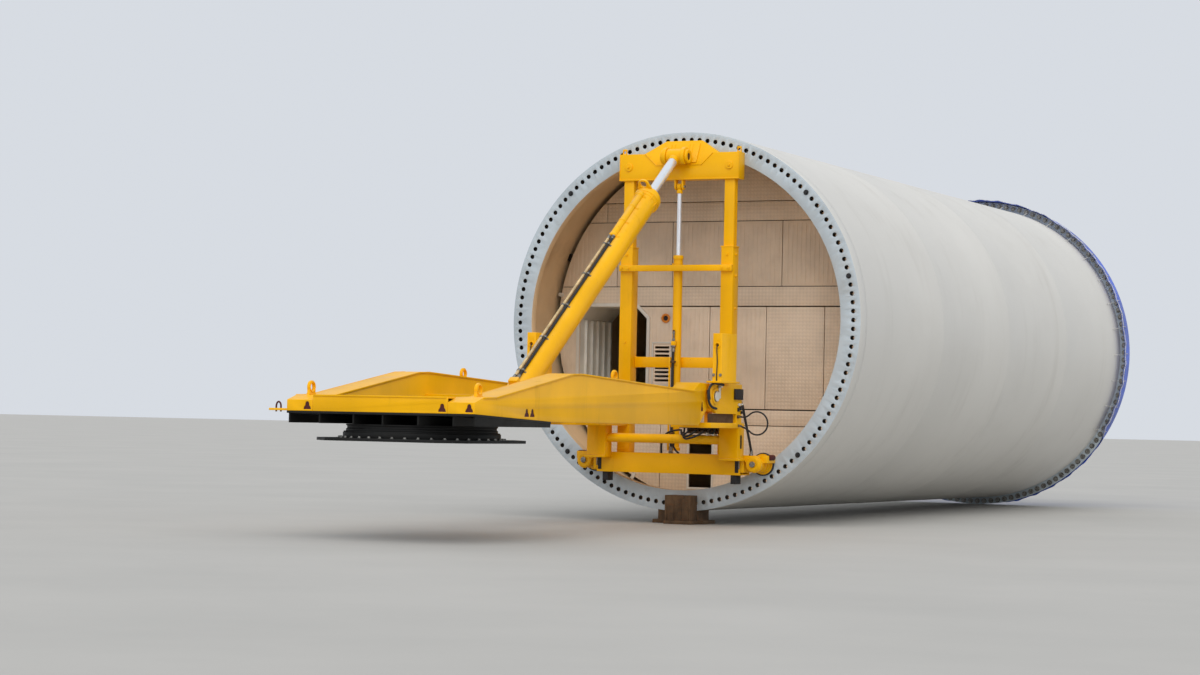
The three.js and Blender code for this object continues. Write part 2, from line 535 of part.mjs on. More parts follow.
// Brackets that carry the arm's hinge pins, their legs, and the uprights that stand on them
function makeHinges() {
  const shelf = alongZ(outline([
    [800, MAST_FRONT - GAP], [800, SHELF.front], [CHEEK_OUTER[1], SHELF.front], [CHEEK_OUTER[1], -900],
    [LEG.x1, -900], [LEG.x1, LOW_BEAM.y0 - GAP], [1080, LOW_BEAM.y0 - GAP], [1080, MAST_FRONT - GAP],
  ]), SHELF.z0, SHELF.z1);
  const block = alongZ(outline([
    [CHEEK_INNER[0], -1250], [CHEEK_OUTER[1], -1250], [CHEEK_OUTER[1], -950], [1080, -950],
    [1080, MAST_FRONT - GAP], [800, MAST_FRONT - GAP], [800, -950], [CHEEK_INNER[0], -950],
  ]), CHEEK_BOTTOM + 30, CHEEK_TOP - 30);
  const cheek = new THREE.Shape();
  cheek.moveTo(-950, CHEEK_TOP);
  cheek.lineTo(HINGE.y, CHEEK_TOP);
  cheek.absarc(HINGE.y, HINGE.z, HINGE.hubR, Math.PI / 2, 3 * Math.PI / 2 - 0.35, false);
  cheek.lineTo(HINGE.y + 60, CHEEK_BOTTOM);
  cheek.lineTo(-1150, CHEEK_BOTTOM);
  cheek.lineTo(-1150, SHELF.z1 - 10);
  cheek.lineTo(-950, SHELF.z1 - 10);
  cheek.closePath();
  const bore = cylinderX(boreFor(HINGE.pinR, PIN_SIDES), 700, 1700, HINGE.y, HINGE.z);
  const bracket = join(shelf, block, alongX(cheek, ...CHEEK_INNER, 12), alongX(cheek, ...CHEEK_OUTER, 12));
  addPair('hinge_bracket', cut(bracket, bore), 'crane_yellow');
  const pin = cylinderX(HINGE.pinR, CHEEK_INNER[0] - 15, CHEEK_OUTER[1] + 25, HINGE.y, HINGE.z);
  addPair('hinge_pin', pin, 'pin_steel');

  const leg = box(LEG.x0 + GAP, LEG.x1, LEG.y0, LOW_BEAM.y0 - GAP, LEG.z0, SHELF.z0 - GAP);
  const foot = box(LEG.x0 + GAP, LEG.x1 + LEG.footOut, LEG.y0 - LEG.footOut, LOW_BEAM.y0 - GAP,
    LEG.z0 - LEG.footThick, LEG.z0 + 1);
  addPair('bracket_leg', join(leg, foot), 'crane_yellow');
  const shiftTube = cylinderX(SHIFT_TUBE.r, -LEG.x0, LEG.x0, SHIFT_TUBE.y, SHIFT_TUBE.z);
  add('side_shift_tube', shiftTube, 'crane_yellow');

  const post = box(UPRIGHT.x0, UPRIGHT.x1, UPRIGHT.y0, UPRIGHT.y1, CHEEK_TOP + UPRIGHT.plate, UPRIGHT.top);
  const plate = box(CHEEK_OUTER[0], UPRIGHT.x1 + 10, UPRIGHT.y0 - 20, UPRIGHT.y1 + 120,
    CHEEK_TOP + GAP, CHEEK_TOP + UPRIGHT.plate + 1);
  const middle = (UPRIGHT.x0 + UPRIGHT.x1) / 2;
  const eye = cylinderY(UPRIGHT.eyeR, UPRIGHT.y0 - 50, UPRIGHT.y0 + 60, middle, UPRIGHT.eyeZ, 12);
  addPair('upright', cut(join(post, plate), eye), 'crane_yellow');
}

// The arm: two humped girders, the beams between them, and the underframe of the slewing ring
function makeArm() {
  const web = new THREE.Shape();
  web.moveTo(GIRDER.front, GIRDER.frontZ);
  web.lineTo(GIRDER.front, -1430);
  web.lineTo(GIRDER.front + 230, -1360);
  web.lineTo(-8900, -1350);
  web.lineTo(-6700, -1000);
  web.lineTo(-6440, -990);
  web.lineTo(-2640, -1150);
  web.lineTo(-2400, CHEEK_TOP);
  web.lineTo(HINGE.y, HINGE.z + GIRDER_END_R);
  web.absarc(HINGE.y, HINGE.z, GIRDER_END_R, Math.PI / 2, -Math.PI / 2 - 0.5, true);
  web.lineTo(GIRDER.back, GIRDER.backZ);
  web.lineTo(GIRDER.kink, GIRDER.kinkZ);
  web.closePath();
  const bore = cylinderX(boreFor(HINGE.pinR, PIN_SIDES), 900, 1500, HINGE.y, HINGE.z);
  const middle = (GIRDER.x0 + GIRDER.x1) / 2;
  const wall = GIRDER.wall;
  const cavity = alongX(outline([
    [GIRDER.front + wall, girderBottom(GIRDER.front) + wall], [GIRDER.front + wall, -1455],
    [GIRDER.front + 235, -1385], [-8910, -1375], [-6707, -1022], [-6440, -1013], [-2640, -1173],
    [-2420, -1080], [-2250, -1080], [-2250, -1480], [GIRDER.back - 30, girderBottom(GIRDER.back) + wall + 25],
    [GIRDER.kink, GIRDER.kinkZ + wall],
  ]), GIRDER.x0 + wall, GIRDER.x1 - wall);
  const handHole = box(middle - 90, middle + 90, -4200, -3950, GIRDER.backZ - 50, GIRDER.frontZ);
  const eyes = (places) => places.map(([y, z]) => cut(
    join(cylinderX(EYE_R, middle - EYE_THICK / 2, middle + EYE_THICK / 2, y, z, 20),
      box(middle - EYE_THICK / 2, middle + EYE_THICK / 2, y - 80, y + 80, z - 115, z - 30)),
    cylinderX(EYE_HOLE_R, middle - 50, middle + 50, y, z, 12)));
  const girder = cut(alongX(web, GIRDER.x0, GIRDER.x1, 14), cavity, handHole);
  add('girder_right', cut(join(girder, ...eyes(EYES_RIGHT)), bore), 'crane_yellow');
  add('girder_left', mirrorX(cut(join(girder, ...eyes(EYES_LEFT)), bore)), 'crane_yellow');

  const inner = GIRDER.x0 - GAP;
  const boxBeam = (y0, y1, z0, z1) => cut(box(-inner, inner, y0, y1, z0, z1),
    box(-inner - 50, inner + 50, y0 + BEAM_WALL, y1 - BEAM_WALL, z0 + BEAM_WALL, z1 - BEAM_WALL));
  const crossbeam = boxBeam(GIRDER.front, FRONT_BEAM.y1, FRONT_BEAM.z0, FRONT_BEAM.z1);
  add('front_crossbeam', crossbeam, 'crane_yellow');
  const deck = box(-inner, inner, FRONT_BEAM.y1 + GAP, DECK_PLATE.y1, DECK_PLATE.z0, DECK_PLATE.z1);
  add('deck_plate', deck, 'dark_metal');

  const tab = box(-GIRDER.x1 - LASHING_TAB.reach, -GIRDER.x1 - GAP, LASHING_TAB.y0, LASHING_TAB.y1,
    LASHING_TAB.z0, LASHING_TAB.z1);
  const tabMiddle = (LASHING_TAB.y0 + LASHING_TAB.y1) / 2;
  const tabHole = cylinderZ(45, LASHING_TAB.z0 - 20, LASHING_TAB.z1 + 20,
    -GIRDER.x1 - LASHING_TAB.reach + 90, tabMiddle, 16);
  add('lashing_tab_left', cut(tab, tabHole), 'crane_yellow');

  const ribFront = GIRDER.front + 40;
  const rib = outline([
    [ribFront, UNDER_RIB.z0], [UNDER_RIB.y1, UNDER_RIB.z0],
    [UNDER_RIB.y1, girderBottom(UNDER_RIB.y1) - 10], [ribFront, girderBottom(ribFront) - 10],
  ]);
  const ribs = UNDER_RIB_PLACES.map((x) => alongX(rib, x - UNDER_RIB.thick / 2, x + UNDER_RIB.thick / 2));
  const skin = alongX(outline([
    [GIRDER.front, girderBottom(GIRDER.front) - GAP], [GIRDER.front, girderBottom(GIRDER.front) - 30],
    [UNDER_RIB.y1, girderBottom(UNDER_RIB.y1) - 30], [UNDER_RIB.y1, girderBottom(UNDER_RIB.y1) - GAP],
  ]), -GIRDER.x1, GIRDER.x1);
  add('underframe', join(skin, ...ribs), 'dark_metal');

  const slewRing = (outer, bore, z0, z1) => cut(cylinderZ(outer, z0, z1, 0, SLEW.y, 48),
    cylinderZ(bore, z0 - 10, z1 + 10, 0, SLEW.y, 48));
  const race = UNDER_RIB.z0 - SLEW.ringHeight;
  const low = race - SLEW.gap;
  const spigot = slewRing(SLEW.spigotR, SLEW.spigotR - 70, low - SLEW.ringHeight + 30, race + 10);
  const fixed = slewRing(SLEW.outerR, SLEW.spigotR - 70, race, UNDER_RIB.z0 - GAP);
  add('slew_ring', join(fixed, spigot), 'dark_metal');
  add('turntable_ring', slewRing(SLEW.outerR + 40, SLEW.innerR, low - SLEW.ringHeight, low), 'dark_metal');
  const half = TURNTABLE.plateHalf;
  const c = TURNTABLE.corner;
  const plate = outline([
    [-half, -half + c], [-half + c, -half], [half - c, -half], [half, -half + c],
    [half, half - c], [half - c, half], [-half + c, half], [-half, half - c],
  ].map(([x, y]) => [x, y + SLEW.y]));
  const plateTop = low - SLEW.ringHeight - GAP;
  add('turntable_plate', alongZ(plate, plateTop - TURNTABLE.plateThick, plateTop), 'dark_metal');

  const beam = boxBeam(FOOT_BEAM.y0, FOOT_BEAM.y1, FOOT_BEAM.z0, FOOT_BEAM.z1);
  const lugShape = new THREE.Shape();
  lugShape.moveTo(FOOT_BEAM.y1 - 10, LUFF_FOOT.z - 140);
  lugShape.absarc(LUFF_FOOT.y, LUFF_FOOT.z, 130, -Math.PI / 2, Math.PI / 2, false);
  lugShape.lineTo(FOOT_BEAM.y1 - 10, LUFF_FOOT.z + 160);
  lugShape.closePath();
  const lugs = [-1, 1].map((side) => alongX(lugShape, side > 0 ? 150 : -210, side > 0 ? 210 : -150, 10));
  const footPin = cylinderX(LUFF_FOOT.pinR, -250, 250, LUFF_FOOT.y, LUFF_FOOT.z);
  add('luff_foot_beam', join(beam, ...lugs, footPin), 'crane_yellow');
}

// The luffing cylinder, built along its own axis from the foot pin up to the top pin
function makeLuffCylinder() {
  const dy = ROD_PIN.y - LUFF_FOOT.y;
  const dz = ROD_PIN.z - LUFF_FOOT.z;
  const length = Math.hypot(dy, dz);
  const place = new THREE.Group();
  place.position.set(0, LUFF_FOOT.y, LUFF_FOOT.z);
  place.rotation.x = -Math.atan2(dy, dz);
  tower.add(place);

  const mouth = length - ROD_SHOWN;
  const lathe = (profile, sides) => {
    const points = profile.map(([r, z]) => new THREE.Vector2(r, z));
    return new THREE.LatheGeometry(points, sides).rotateX(Math.PI / 2);
  };
  const boreR = boreFor(LUFF_ROD_R, 32);
  const body = lathe([
    [0, 100], [110, 100], [110, 170], [BARREL_R, 200], [BARREL_R, mouth - COLLAR_LENGTH],
    [COLLAR_R, mouth - COLLAR_LENGTH + 15], [COLLAR_R, mouth - 15], [COLLAR_R - 15, mouth],
    [boreR, mouth], [boreR, mouth - GLAND_LENGTH], [BARREL_BORE_R, mouth - GLAND_LENGTH],
    [BARREL_BORE_R, BARREL_FLOOR], [0, BARREL_FLOOR],
  ], 32);
  const eyeBore = (r) => cylinderX(r, -300, 300, 0, 0);
  const footEye = join(cylinderX(130, -EYE_WIDTH / 2, EYE_WIDTH / 2, 0, 0), box(-90, 90, -90, 90, 20, 150));
  const footHole = eyeBore(LUFF_FOOT.pinR + LUFF_FOOT.clearance);
  const crown = box(-25, 25, -COLLAR_R - 55, -COLLAR_R + 40, mouth - 130, mouth - 40);
  const top = -BARREL_R;
  const hoseBlock = box(-70, 70, top - 55, top + 60, HOSE_START - 100, HOSE_START - GAP);
  add('luff_barrel', join(cut(join(body, footEye), footHole), crown, hoseBlock), 'crane_yellow', place);

  const rodTop = length - 90;
  const pistonZ = mouth - ROD_IN_BARREL;
  const piston = cylinderZ(BARREL_BORE_R - GAP, pistonZ, pistonZ + PISTON_LENGTH, 0, 0, 32);
  const rod = cylinderZ(LUFF_ROD_R, pistonZ, rodTop, 0, 0, 32);
  const rodEye = cylinderX(125, -EYE_WIDTH / 2, EYE_WIDTH / 2, 0, length);
  const rodHole = cylinderX(boreFor(ROD_PIN.r, PIN_SIDES), -300, 300, 0, length);
  add('luff_rod', cut(join(rod, piston, rodEye), rodHole), 'chrome_rod', place);

  // The pipe cover and the two hoses lie along the side of the barrel that faces up and forward
  const joint = mouth - PIPE_COVER_END;
  const cover = box(-55, 55, top - 60, top - GAP, joint, mouth - COLLAR_LENGTH - 5);
  add('barrel_pipe_cover', cover, 'crane_yellow', place);
  [['hose_cream', -32, 'hose_cream'], ['hose_dark', 32, 'hose_black']].forEach(([name, x, material]) => {
    const hose = cylinderZ(HOSE_R, HOSE_START, joint - GAP, x, top - HOSE_R - GAP, 10);
    add(`barrel_${name}`, hose, material, place);
  });
}

// A hose of round section along a smooth curve through its route
function hoseAlong(route, r, steps) {
  const points = route.map(([x, y, z]) => new THREE.Vector3(x, y, z));
  const curve = new THREE.CatmullRomCurve3(points, false, 'centripetal');
  const section = new THREE.Shape();
  for (let i = 0; i < HOSE_SIDES; i += 1) {
    const angle = i / HOSE_SIDES * 2 * Math.PI;
    const [u, v] = [r * Math.cos(angle), r * Math.sin(angle)];
    if (i === 0) section.moveTo(u, v);
    else section.lineTo(u, v);
  }
  section.closePath();
  return new THREE.ExtrudeGeometry(section, { steps, bevelEnabled: false, extrudePath: curve });
}

// Hydraulic hoses that hang from fittings: one beside the lift cylinder, one to each clamp, one standing loop
function makeFreeHoses() {
  add('lift_hose', hoseAlong(LIFT_HOSE_ROUTE, LIFT_HOSE_R, 30), 'hose_black');
  add('clamp_hose', hoseAlong(CLAMP_HOSE_ROUTE, CLAMP_HOSE_R, 40), 'hose_black');
  const loop = [];
  for (let i = 0; i <= LOOP.steps; i += 1) {
    const turn = i / LOOP.steps;
    const angle = LOOP.start - turn * LOOP.sweep;
    const y = LOOP.y0 + turn * (LOOP.y1 - LOOP.y0);
    loop.push([LOOP.x + LOOP.r * Math.cos(angle), y, LOOP.z + LOOP.r * Math.sin(angle)]);
  }
  add('loop_hose', hoseAlong([...LOOP.lead, ...loop, ...LOOP.tail], LOOP.hoseR, 52), 'hose_black');
}

// A steel foot keeps the near flange level with the far flange's rim
function makeFoot() {
  const floor = -FAR_FLANGE_R;
  const block = box(FOOT.x0, FOOT.x1, FOOT.front, -GAP, floor + FOOT.plateThick, FOOT.top);
  add('transport_foot_block', block, 'rust_brown');
  const plateTop = floor + FOOT.plateThick;
  const bearer = cut(box(-FOOT.bearerHalf, FOOT.bearerHalf, 0, FOOT.back, plateTop - 1, -2900),
    cylinderY(SHELL_R_NEAR + 1.8, -50, FOOT.back + 50, 0, 0, RING_SIDES));
  const shoe = join(
    box(-FOOT.half, FOOT.half, 0, FOOT.back + 20, floor, plateTop - GAP),
    box(FOOT.x0 - 10, FOOT.x1 + 30, FOOT.front - 20, 1, floor, plateTop - GAP));
  add('transport_foot_shoe', join(shoe, bearer), 'rust_brown');
}

makeTower();
makeCover();
makePlatform();
makeMast();
makeClamps();
makeHinges();
makeArm();
makeLuffCylinder();
makeFoot();
makeFreeHoses();

// The ground is at the far flange's lowest point, and the zero is below the middle of the whole length
const LAST_Y = TOWER_LENGTH + GAP + COVER_THICK;
tower.position.set(0, -(GIRDER.front + LAST_Y) / 2, FAR_FLANGE_R);

export default group;
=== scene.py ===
"""Wind turbine tower section in its lifting adaptor: the looks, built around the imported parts."""
import json
import math
from contextlib import contextmanager

import bpy
from bpy.props import FloatProperty, FloatVectorProperty, IntProperty, PointerProperty
from mathutils import Matrix, Vector

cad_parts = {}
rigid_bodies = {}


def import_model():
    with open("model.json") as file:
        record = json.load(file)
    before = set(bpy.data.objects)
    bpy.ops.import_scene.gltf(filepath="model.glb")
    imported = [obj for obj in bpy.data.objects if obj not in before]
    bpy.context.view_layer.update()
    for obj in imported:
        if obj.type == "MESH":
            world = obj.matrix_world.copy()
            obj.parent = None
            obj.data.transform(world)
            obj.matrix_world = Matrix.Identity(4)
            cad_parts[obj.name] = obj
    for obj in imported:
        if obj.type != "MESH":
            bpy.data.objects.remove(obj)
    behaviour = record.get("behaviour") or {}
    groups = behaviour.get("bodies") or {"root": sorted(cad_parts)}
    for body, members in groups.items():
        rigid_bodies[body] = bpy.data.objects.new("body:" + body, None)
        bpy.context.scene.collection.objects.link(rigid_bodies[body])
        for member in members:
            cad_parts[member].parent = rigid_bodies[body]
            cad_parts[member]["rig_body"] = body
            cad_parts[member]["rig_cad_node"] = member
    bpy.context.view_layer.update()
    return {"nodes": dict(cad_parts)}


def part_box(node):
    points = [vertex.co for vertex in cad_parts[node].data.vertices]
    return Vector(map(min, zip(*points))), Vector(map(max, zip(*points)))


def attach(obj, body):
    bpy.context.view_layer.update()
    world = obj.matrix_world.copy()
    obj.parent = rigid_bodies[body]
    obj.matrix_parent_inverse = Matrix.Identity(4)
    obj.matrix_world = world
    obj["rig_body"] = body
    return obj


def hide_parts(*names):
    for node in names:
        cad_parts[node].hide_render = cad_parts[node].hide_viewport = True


bl_info = {
    "name": "Tower section with lifting adaptor",
    "version": (1, 0, 0),
    "blender": (4, 5, 0),
    "location": "View3D > Sidebar > Tower",
    "description": "Builds the visible pieces of a wind turbine tower section and its lifting adaptor",
    "category": "Add Mesh",
}

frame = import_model()
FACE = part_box("near_flange")[0].y         # the near flange's face
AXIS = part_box("near_flange")[0].z + 3.05  # the tower's axis above the ground
TURN = 2 * math.pi
X, Y, Z = Vector((1, 0, 0)), Vector((0, 1, 0)), Vector((0, 0, 1))


def at(x, y, z):
    """A point of the tower's own frame, whose zero is on the axis at the near flange's face."""
    return Vector((x, y + FACE, z + AXIS))


def outward(angle):
    """The way out from the tower's axis, at an angle from the top and toward +X."""
    return Vector((math.sin(angle), 0, math.cos(angle)))


def round_axis(radius, y, angle):
    """A point on a circle about the tower's axis."""
    return at(radius * math.sin(angle), y, radius * math.cos(angle))


# Sizes of the tower section and its adaptor, in metres in the tower's own frame

TOWER_LENGTH = 15.9
SHELL_WALL = 0.04
NECK_END = 0.3
FAR_NECK = 15.55
FAR_FACE = TOWER_LENGTH - 0.12
NEAR_BORE = 2.714
NEAR_BOLT_R = 2.928
FAR_BORE = 2.88
FAR_BOLT_R = 3.185
FAR_RIM = 3.25
HOLE_TURN = math.radians(0.82)
DECK_Y = 1.45
DECK_FRONT = 1.42
DECK_R = 2.93
HINGE = Vector((0, -2.0, -1.22))
ROD_PIN = Vector((0, -0.36, 2.62))
LUFF_FOOT = Vector((0, -5.95, -1.47))
SLEW_Y = -8.35
BRACKET_X = 1.4705  # just off the hinge bracket's outer face
LUFF_LENGTH = (ROD_PIN - LUFF_FOOT).length
LUFF_MOUTH = LUFF_LENGTH - 1.24
LUFF_AXIS = (ROD_PIN - LUFF_FOOT).normalized()
LUFF_OUT = X.cross(LUFF_AXIS).normalized()  # from the cylinder's axis up and forward
BARREL_R = 0.185
BARREL_SEAT = BARREL_R - 0.006  # where clips and covers sink into the barrel
BARREL_HOSE = BARREL_R + 0.0225  # how far the hoses on the barrel run from its axis

CLAMP_HOSE = [
    (1.42, -0.9497, -1.3), (1.42, -0.915, -1.3), (1.421, -0.868, -1.308), (1.422, -0.826, -1.331),
    (1.422, -0.795, -1.362), (1.421, -0.771, -1.4), (1.42, -0.743, -1.45), (1.42, -0.704, -1.52),
    (1.42, -0.654, -1.61), (1.42, -0.604, -1.7), (1.42, -0.554, -1.79), (1.42, -0.504, -1.88),
    (1.42, -0.462, -1.958), (1.42, -0.437, -2.01), (1.42, -0.418, -2.06), (1.42, -0.411, -2.09),
    (1.42, -0.41, -2.1236),
]
LIFT_HOSE = [
    (-0.006, -0.3, -0.4003), (-0.006, -0.3, -0.46), (-0.008, -0.301, -0.56), (-0.009, -0.302, -0.7),
    (-0.009, -0.303, -0.9), (-0.008, -0.304, -1.1), (-0.006, -0.305, -1.3), (-0.004, -0.306, -1.5),
    (-0.004, -0.307, -1.7), (-0.006, -0.308, -1.9), (-0.006, -0.308, -1.99), (-0.006, -0.308, -2.05),
    (-0.006, -0.308, -2.095), (-0.006, -0.308, -2.1217),
]
LOOP_LEAD = [
    (1.4703, -1.124, -1.52), (1.49, -1.124, -1.52), (1.542, -1.123, -1.5215), (1.593, -1.12, -1.5235),
    (1.632, -1.118, -1.511),
]
LOOP_TAIL = [
    (1.6075, -1.083, -1.7045), (1.545, -1.081, -1.678), (1.516, -1.08, -1.6665), (1.49, -1.08, -1.6595),
    (1.4703, -1.08, -1.658),
]
LOOP_STEPS = 24


def loop_route():
    """The standing loop: its lead, one turn that steps sideways, and its tail."""
    turns = []
    for i in range(1, LOOP_STEPS):
        share = i / LOOP_STEPS
        angle = 2.55 - share * 5.1
        turns.append((1.79 + 0.178 * math.cos(angle), -1.116 + 0.03 * share,
                      -1.615 + 0.178 * math.sin(angle)))
    return LOOP_LEAD + turns + LOOP_TAIL


def srgb(code):
    """A hexadecimal colour as linear red, green and blue."""
    parts = [int(code[i:i + 2], 16) / 255 for i in (0, 2, 4)]
    return tuple(c / 12.92 if c <= 0.04045 else ((c + 0.055) / 1.055) ** 2.4 for c in parts)


def length_property(name, description, default, smallest=0.001, largest=1.0):
    return FloatProperty(name=name, description=description, default=default, min=smallest, max=largest,
                         subtype="DISTANCE", unit="LENGTH", precision=4)


def colour_property(name, description, code):
    return FloatVectorProperty(name=name, description=description, default=srgb(code), subtype="COLOR",
                               size=3, min=0.0, max=1.0)


class TowerSizes(bpy.types.PropertyGroup):
    """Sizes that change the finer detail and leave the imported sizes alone."""

    segments: IntProperty(name="Shell segments", description="Flat faces round the shell", default=180,
                          min=72, max=360)
    bolt_holes: IntProperty(name="Bolt holes", description="Holes round each flange", default=132, min=12,
                            max=200)
    hole_radius: length_property("Hole radius", "Radius of a flange's bolt hole", 0.036)
    weld_height: length_property("Weld height", "How far the shell's ring welds stand out", 0.003, 0.0, 0.01)
    rib_pitch: length_property("Rib pitch", "From one rib of a floor panel to the next", 0.078, 0.03, 0.3)
    steel_edge: length_property("Steel edge", "Rounding of the yellow steel's edges", 0.007, 0.001, 0.02)
    panel_gap: length_property("Panel gap", "Open joint between floor panels", 0.012, 0.004, 0.03)


class TowerColours(bpy.types.PropertyGroup):
    """Colours of the finishes."""

    shell: colour_property("Shell", "Tower shell paint", "D3D0C9")
    flange: colour_property("Flange", "Sprayed metal on the flanges", "BCC6CC")
    inside: colour_property("Inside", "Primer inside the shell", "E6CBA4")
    panel: colour_property("Floor panel", "Platform floor panels", "E2D0B9")
    pale: colour_property("Pale frame", "Frame of the lift bay", "DAD6CB")
    yellow: colour_property("Yellow", "Adaptor paint", "F4B400")
    dark: colour_property("Dark steel", "Underframe and turntable", "161615")
    cover: colour_property("Cover", "Far end cover", "2A56C8")
    rust: colour_property("Rusty steel", "Transport foot", "5E4832")
    orange: colour_property("Orange", "Round port's rim", "DB8420")


# Finishes

class Wire:
    """A value in a finish's node tree. Arithmetic on it adds Math nodes."""

    def __init__(self, finish, socket):
        self.finish = finish
        self.socket = socket

    def maths(self, operation, *values):
        return self.finish.node("ShaderNodeMath", {"operation": operation}, *values)

    def __add__(self, other):
        return self.maths("ADD", self, other)

    def __radd__(self, other):
        return self.maths("ADD", other, self)

    def __sub__(self, other):
        return self.maths("SUBTRACT", self, other)

    def __rsub__(self, other):
        return self.maths("SUBTRACT", other, self)

    def __mul__(self, other):
        return self.maths("MULTIPLY", self, other)

    def __rmul__(self, other):
        return self.maths("MULTIPLY", other, self)

    def __truediv__(self, other):
        return self.maths("DIVIDE", self, other)

    def __abs__(self):
        return self.maths("ABSOLUTE", self)

    def sine(self):
        return self.maths("SINE", self)

    def most(self, other):
        return self.maths("MAXIMUM", self, other)


class Finish:
    """A procedural material that is being put together."""

    def __init__(self, name, **constants):
        self.material = bpy.data.materials.new(name)
        self.material.use_nodes = True
        self.tree = self.material.node_tree
        self.shader = self.tree.nodes["Principled BSDF"]
        for socket, value in constants.items():
            self.feed(self.shader.inputs[socket.replace("_", " ")], value)

    def feed(self, socket, value):
        if isinstance(value, Wire):
            self.tree.links.new(value.socket, socket)
        elif value is not None:
            socket.default_value = (*value, 1) if socket.type == "RGBA" and len(value) == 3 else value

    def node(self, kind, settings=None, *values, output=0, **named):
        """Adds a node: its settings first, then the values or links of its sockets."""
        made = self.tree.nodes.new(kind)
        for key, value in (settings or {}).items():
            setattr(made, key, value)
        for socket, value in zip(made.inputs, values):
            self.feed(socket, value)
        for key, value in named.items():
            self.feed(made.inputs[key.replace("_", " ")], value)
        return Wire(self, made.outputs[output])

    def place(self, stretch=(1, 1, 1), turn=(0, 0, 0)):
        """Object coordinates in metres, turned and then stretched."""
        where = self.node("ShaderNodeTexCoord", output=3)
        return self.node("ShaderNodeMapping", {"vector_type": "POINT"}, where, None, turn, stretch)

    def parts(self, vector):
        """The three parts of a vector."""
        first = self.node("ShaderNodeSeparateXYZ", None, vector)
        outputs = first.socket.node.outputs
        return [Wire(self, socket) for socket in outputs]

    def noise(self, scale, detail=3.0, roughness=0.5, stretch=(1, 1, 1)):
        return self.node("ShaderNodeTexNoise", None, Vector=self.place(stretch), Scale=scale, Detail=detail,
                         Roughness=roughness)

    def band(self, value, low, high, start=0.0, end=1.0):
        """A smooth step: start below low, end above high."""
        settings = {"interpolation_type": "SMOOTHSTEP"}
        return self.node("ShaderNodeMapRange", settings, value, low, high, start, end)

    def mix(self, factor, low, high):
        """A colour between two colours."""
        empty = [None] * 5
        return self.node("ShaderNodeMix", {"data_type": "RGBA"}, factor, *empty, low, high, output=2)

    def upward(self):
        """One on faces that look up, zero on the rest."""
        normal = self.node("ShaderNodeNewGeometry", output=1)
        return self.parts(normal)[2]

    def bump(self, height, strength=0.3, distance=0.002):
        return self.node("ShaderNodeBump", None, Strength=strength, Distance=distance, Height=height)

    def surface(self, **sockets):
        for name, value in sockets.items():
            self.feed(self.shader.inputs[name.replace("_", " ")], value)
        return self.material


def shade(colour, factor):
    """A lighter or darker tone of a colour."""
    return tuple(min(1.0, c * factor) for c in colour)


def yellow_finish(colour):
    f = Finish("adaptor_yellow", Coat_Roughness=0.2, IOR=1.4, Specular_IOR_Level=0.25)
    cloud = f.noise(1.1, 4.0)
    streaks = f.band(f.noise(3.0, 7.0, 0.62, (1.6, 1.6, 0.22)), 0.56, 0.8)
    chips = f.band(f.noise(46.0, 2.0), 0.73, 0.77)
    dust = f.band(f.upward(), 0.55, 0.95) * f.band(f.noise(2.2, 6.0, 0.6), 0.35, 0.7)
    paint = f.mix(f.band(cloud, 0.3, 0.7), shade(colour, 0.93), shade(colour, 1.08))
    paint = f.mix(streaks * 0.3, paint, srgb("8A5A10"))
    paint = f.mix(dust * 0.3, paint, srgb("E0C79A"))
    paint = f.mix(chips * 0.55, paint, srgb("5B3A18"))
    rough = 0.3 + cloud * 0.1 + streaks * 0.18 + dust * 0.3
    skin = f.noise(120.0, 2.0) * 0.5 + f.noise(5.0, 3.0)
    return f.surface(Base_Color=paint, Roughness=rough, Coat_Weight=0.1 - dust * 0.08,
                     Normal=f.bump(skin, 0.12, 0.002))


def shell_finish(colour):
    f = Finish("shell_paint", Coat_Roughness=0.3)
    cloud = f.noise(0.35, 5.0, 0.5)
    runs = f.band(f.noise(1.2, 7.0, 0.6, (1.0, 1.4, 0.12)), 0.5, 0.82)
    film = f.band(f.noise(0.8, 8.0, 0.68, (1.0, 0.5, 1.0)), 0.45, 0.85)
    specks = f.band(f.noise(22.0, 2.0), 0.76, 0.8)
    paint = f.mix(f.band(cloud, 0.3, 0.7), shade(colour, 0.96), shade(colour, 1.03))
    paint = f.mix(runs * 0.16, paint, srgb("8C8478"))
    paint = f.mix(film * 0.12, paint, srgb("9A9182"))
    paint = f.mix(specks * 0.2, paint, srgb("7B7263"))
    return f.surface(Base_Color=paint, Roughness=0.42 + runs * 0.15 + cloud * 0.08, Coat_Weight=0.15,
                     Normal=f.bump(f.noise(2.0, 2.0), 0.04, 0.01))


def inside_finish(colour):
    f = Finish("inside_primer")
    cloud = f.noise(0.9, 6.0, 0.6)
    stains = f.band(f.noise(1.6, 8.0, 0.66, (1.0, 0.6, 0.4)), 0.5, 0.8)
    paint = f.mix(f.band(cloud, 0.3, 0.7), shade(colour, 0.9), shade(colour, 1.06))
    paint = f.mix(stains * 0.3, paint, srgb("7C5F3F"))
    return f.surface(Base_Color=paint, Roughness=0.6 + stains * 0.2,
                     Normal=f.bump(f.noise(40.0), 0.08, 0.002))


def flange_finish(colour):
    f = Finish("flange_spray", Metallic=0.15)
    cloud = f.noise(2.0, 6.0, 0.6)
    grey = f.mix(f.band(cloud, 0.3, 0.7), shade(colour, 0.9), shade(colour, 1.06))
    dirt = f.band(f.noise(7.0, 6.0, 0.7), 0.55, 0.75)
    tea = f.band(f.noise(1.1, 7.0, 0.65), 0.55, 0.8)
    grey = f.mix(dirt * 0.25, grey, srgb("7A786E"))
    grey = f.mix(tea * 0.25, grey, srgb("A08A66"))
    return f.surface(Base_Color=grey, Roughness=0.55 + dirt * 0.15,
                     Normal=f.bump(f.noise(150.0, 2.0), 0.15, 0.001))


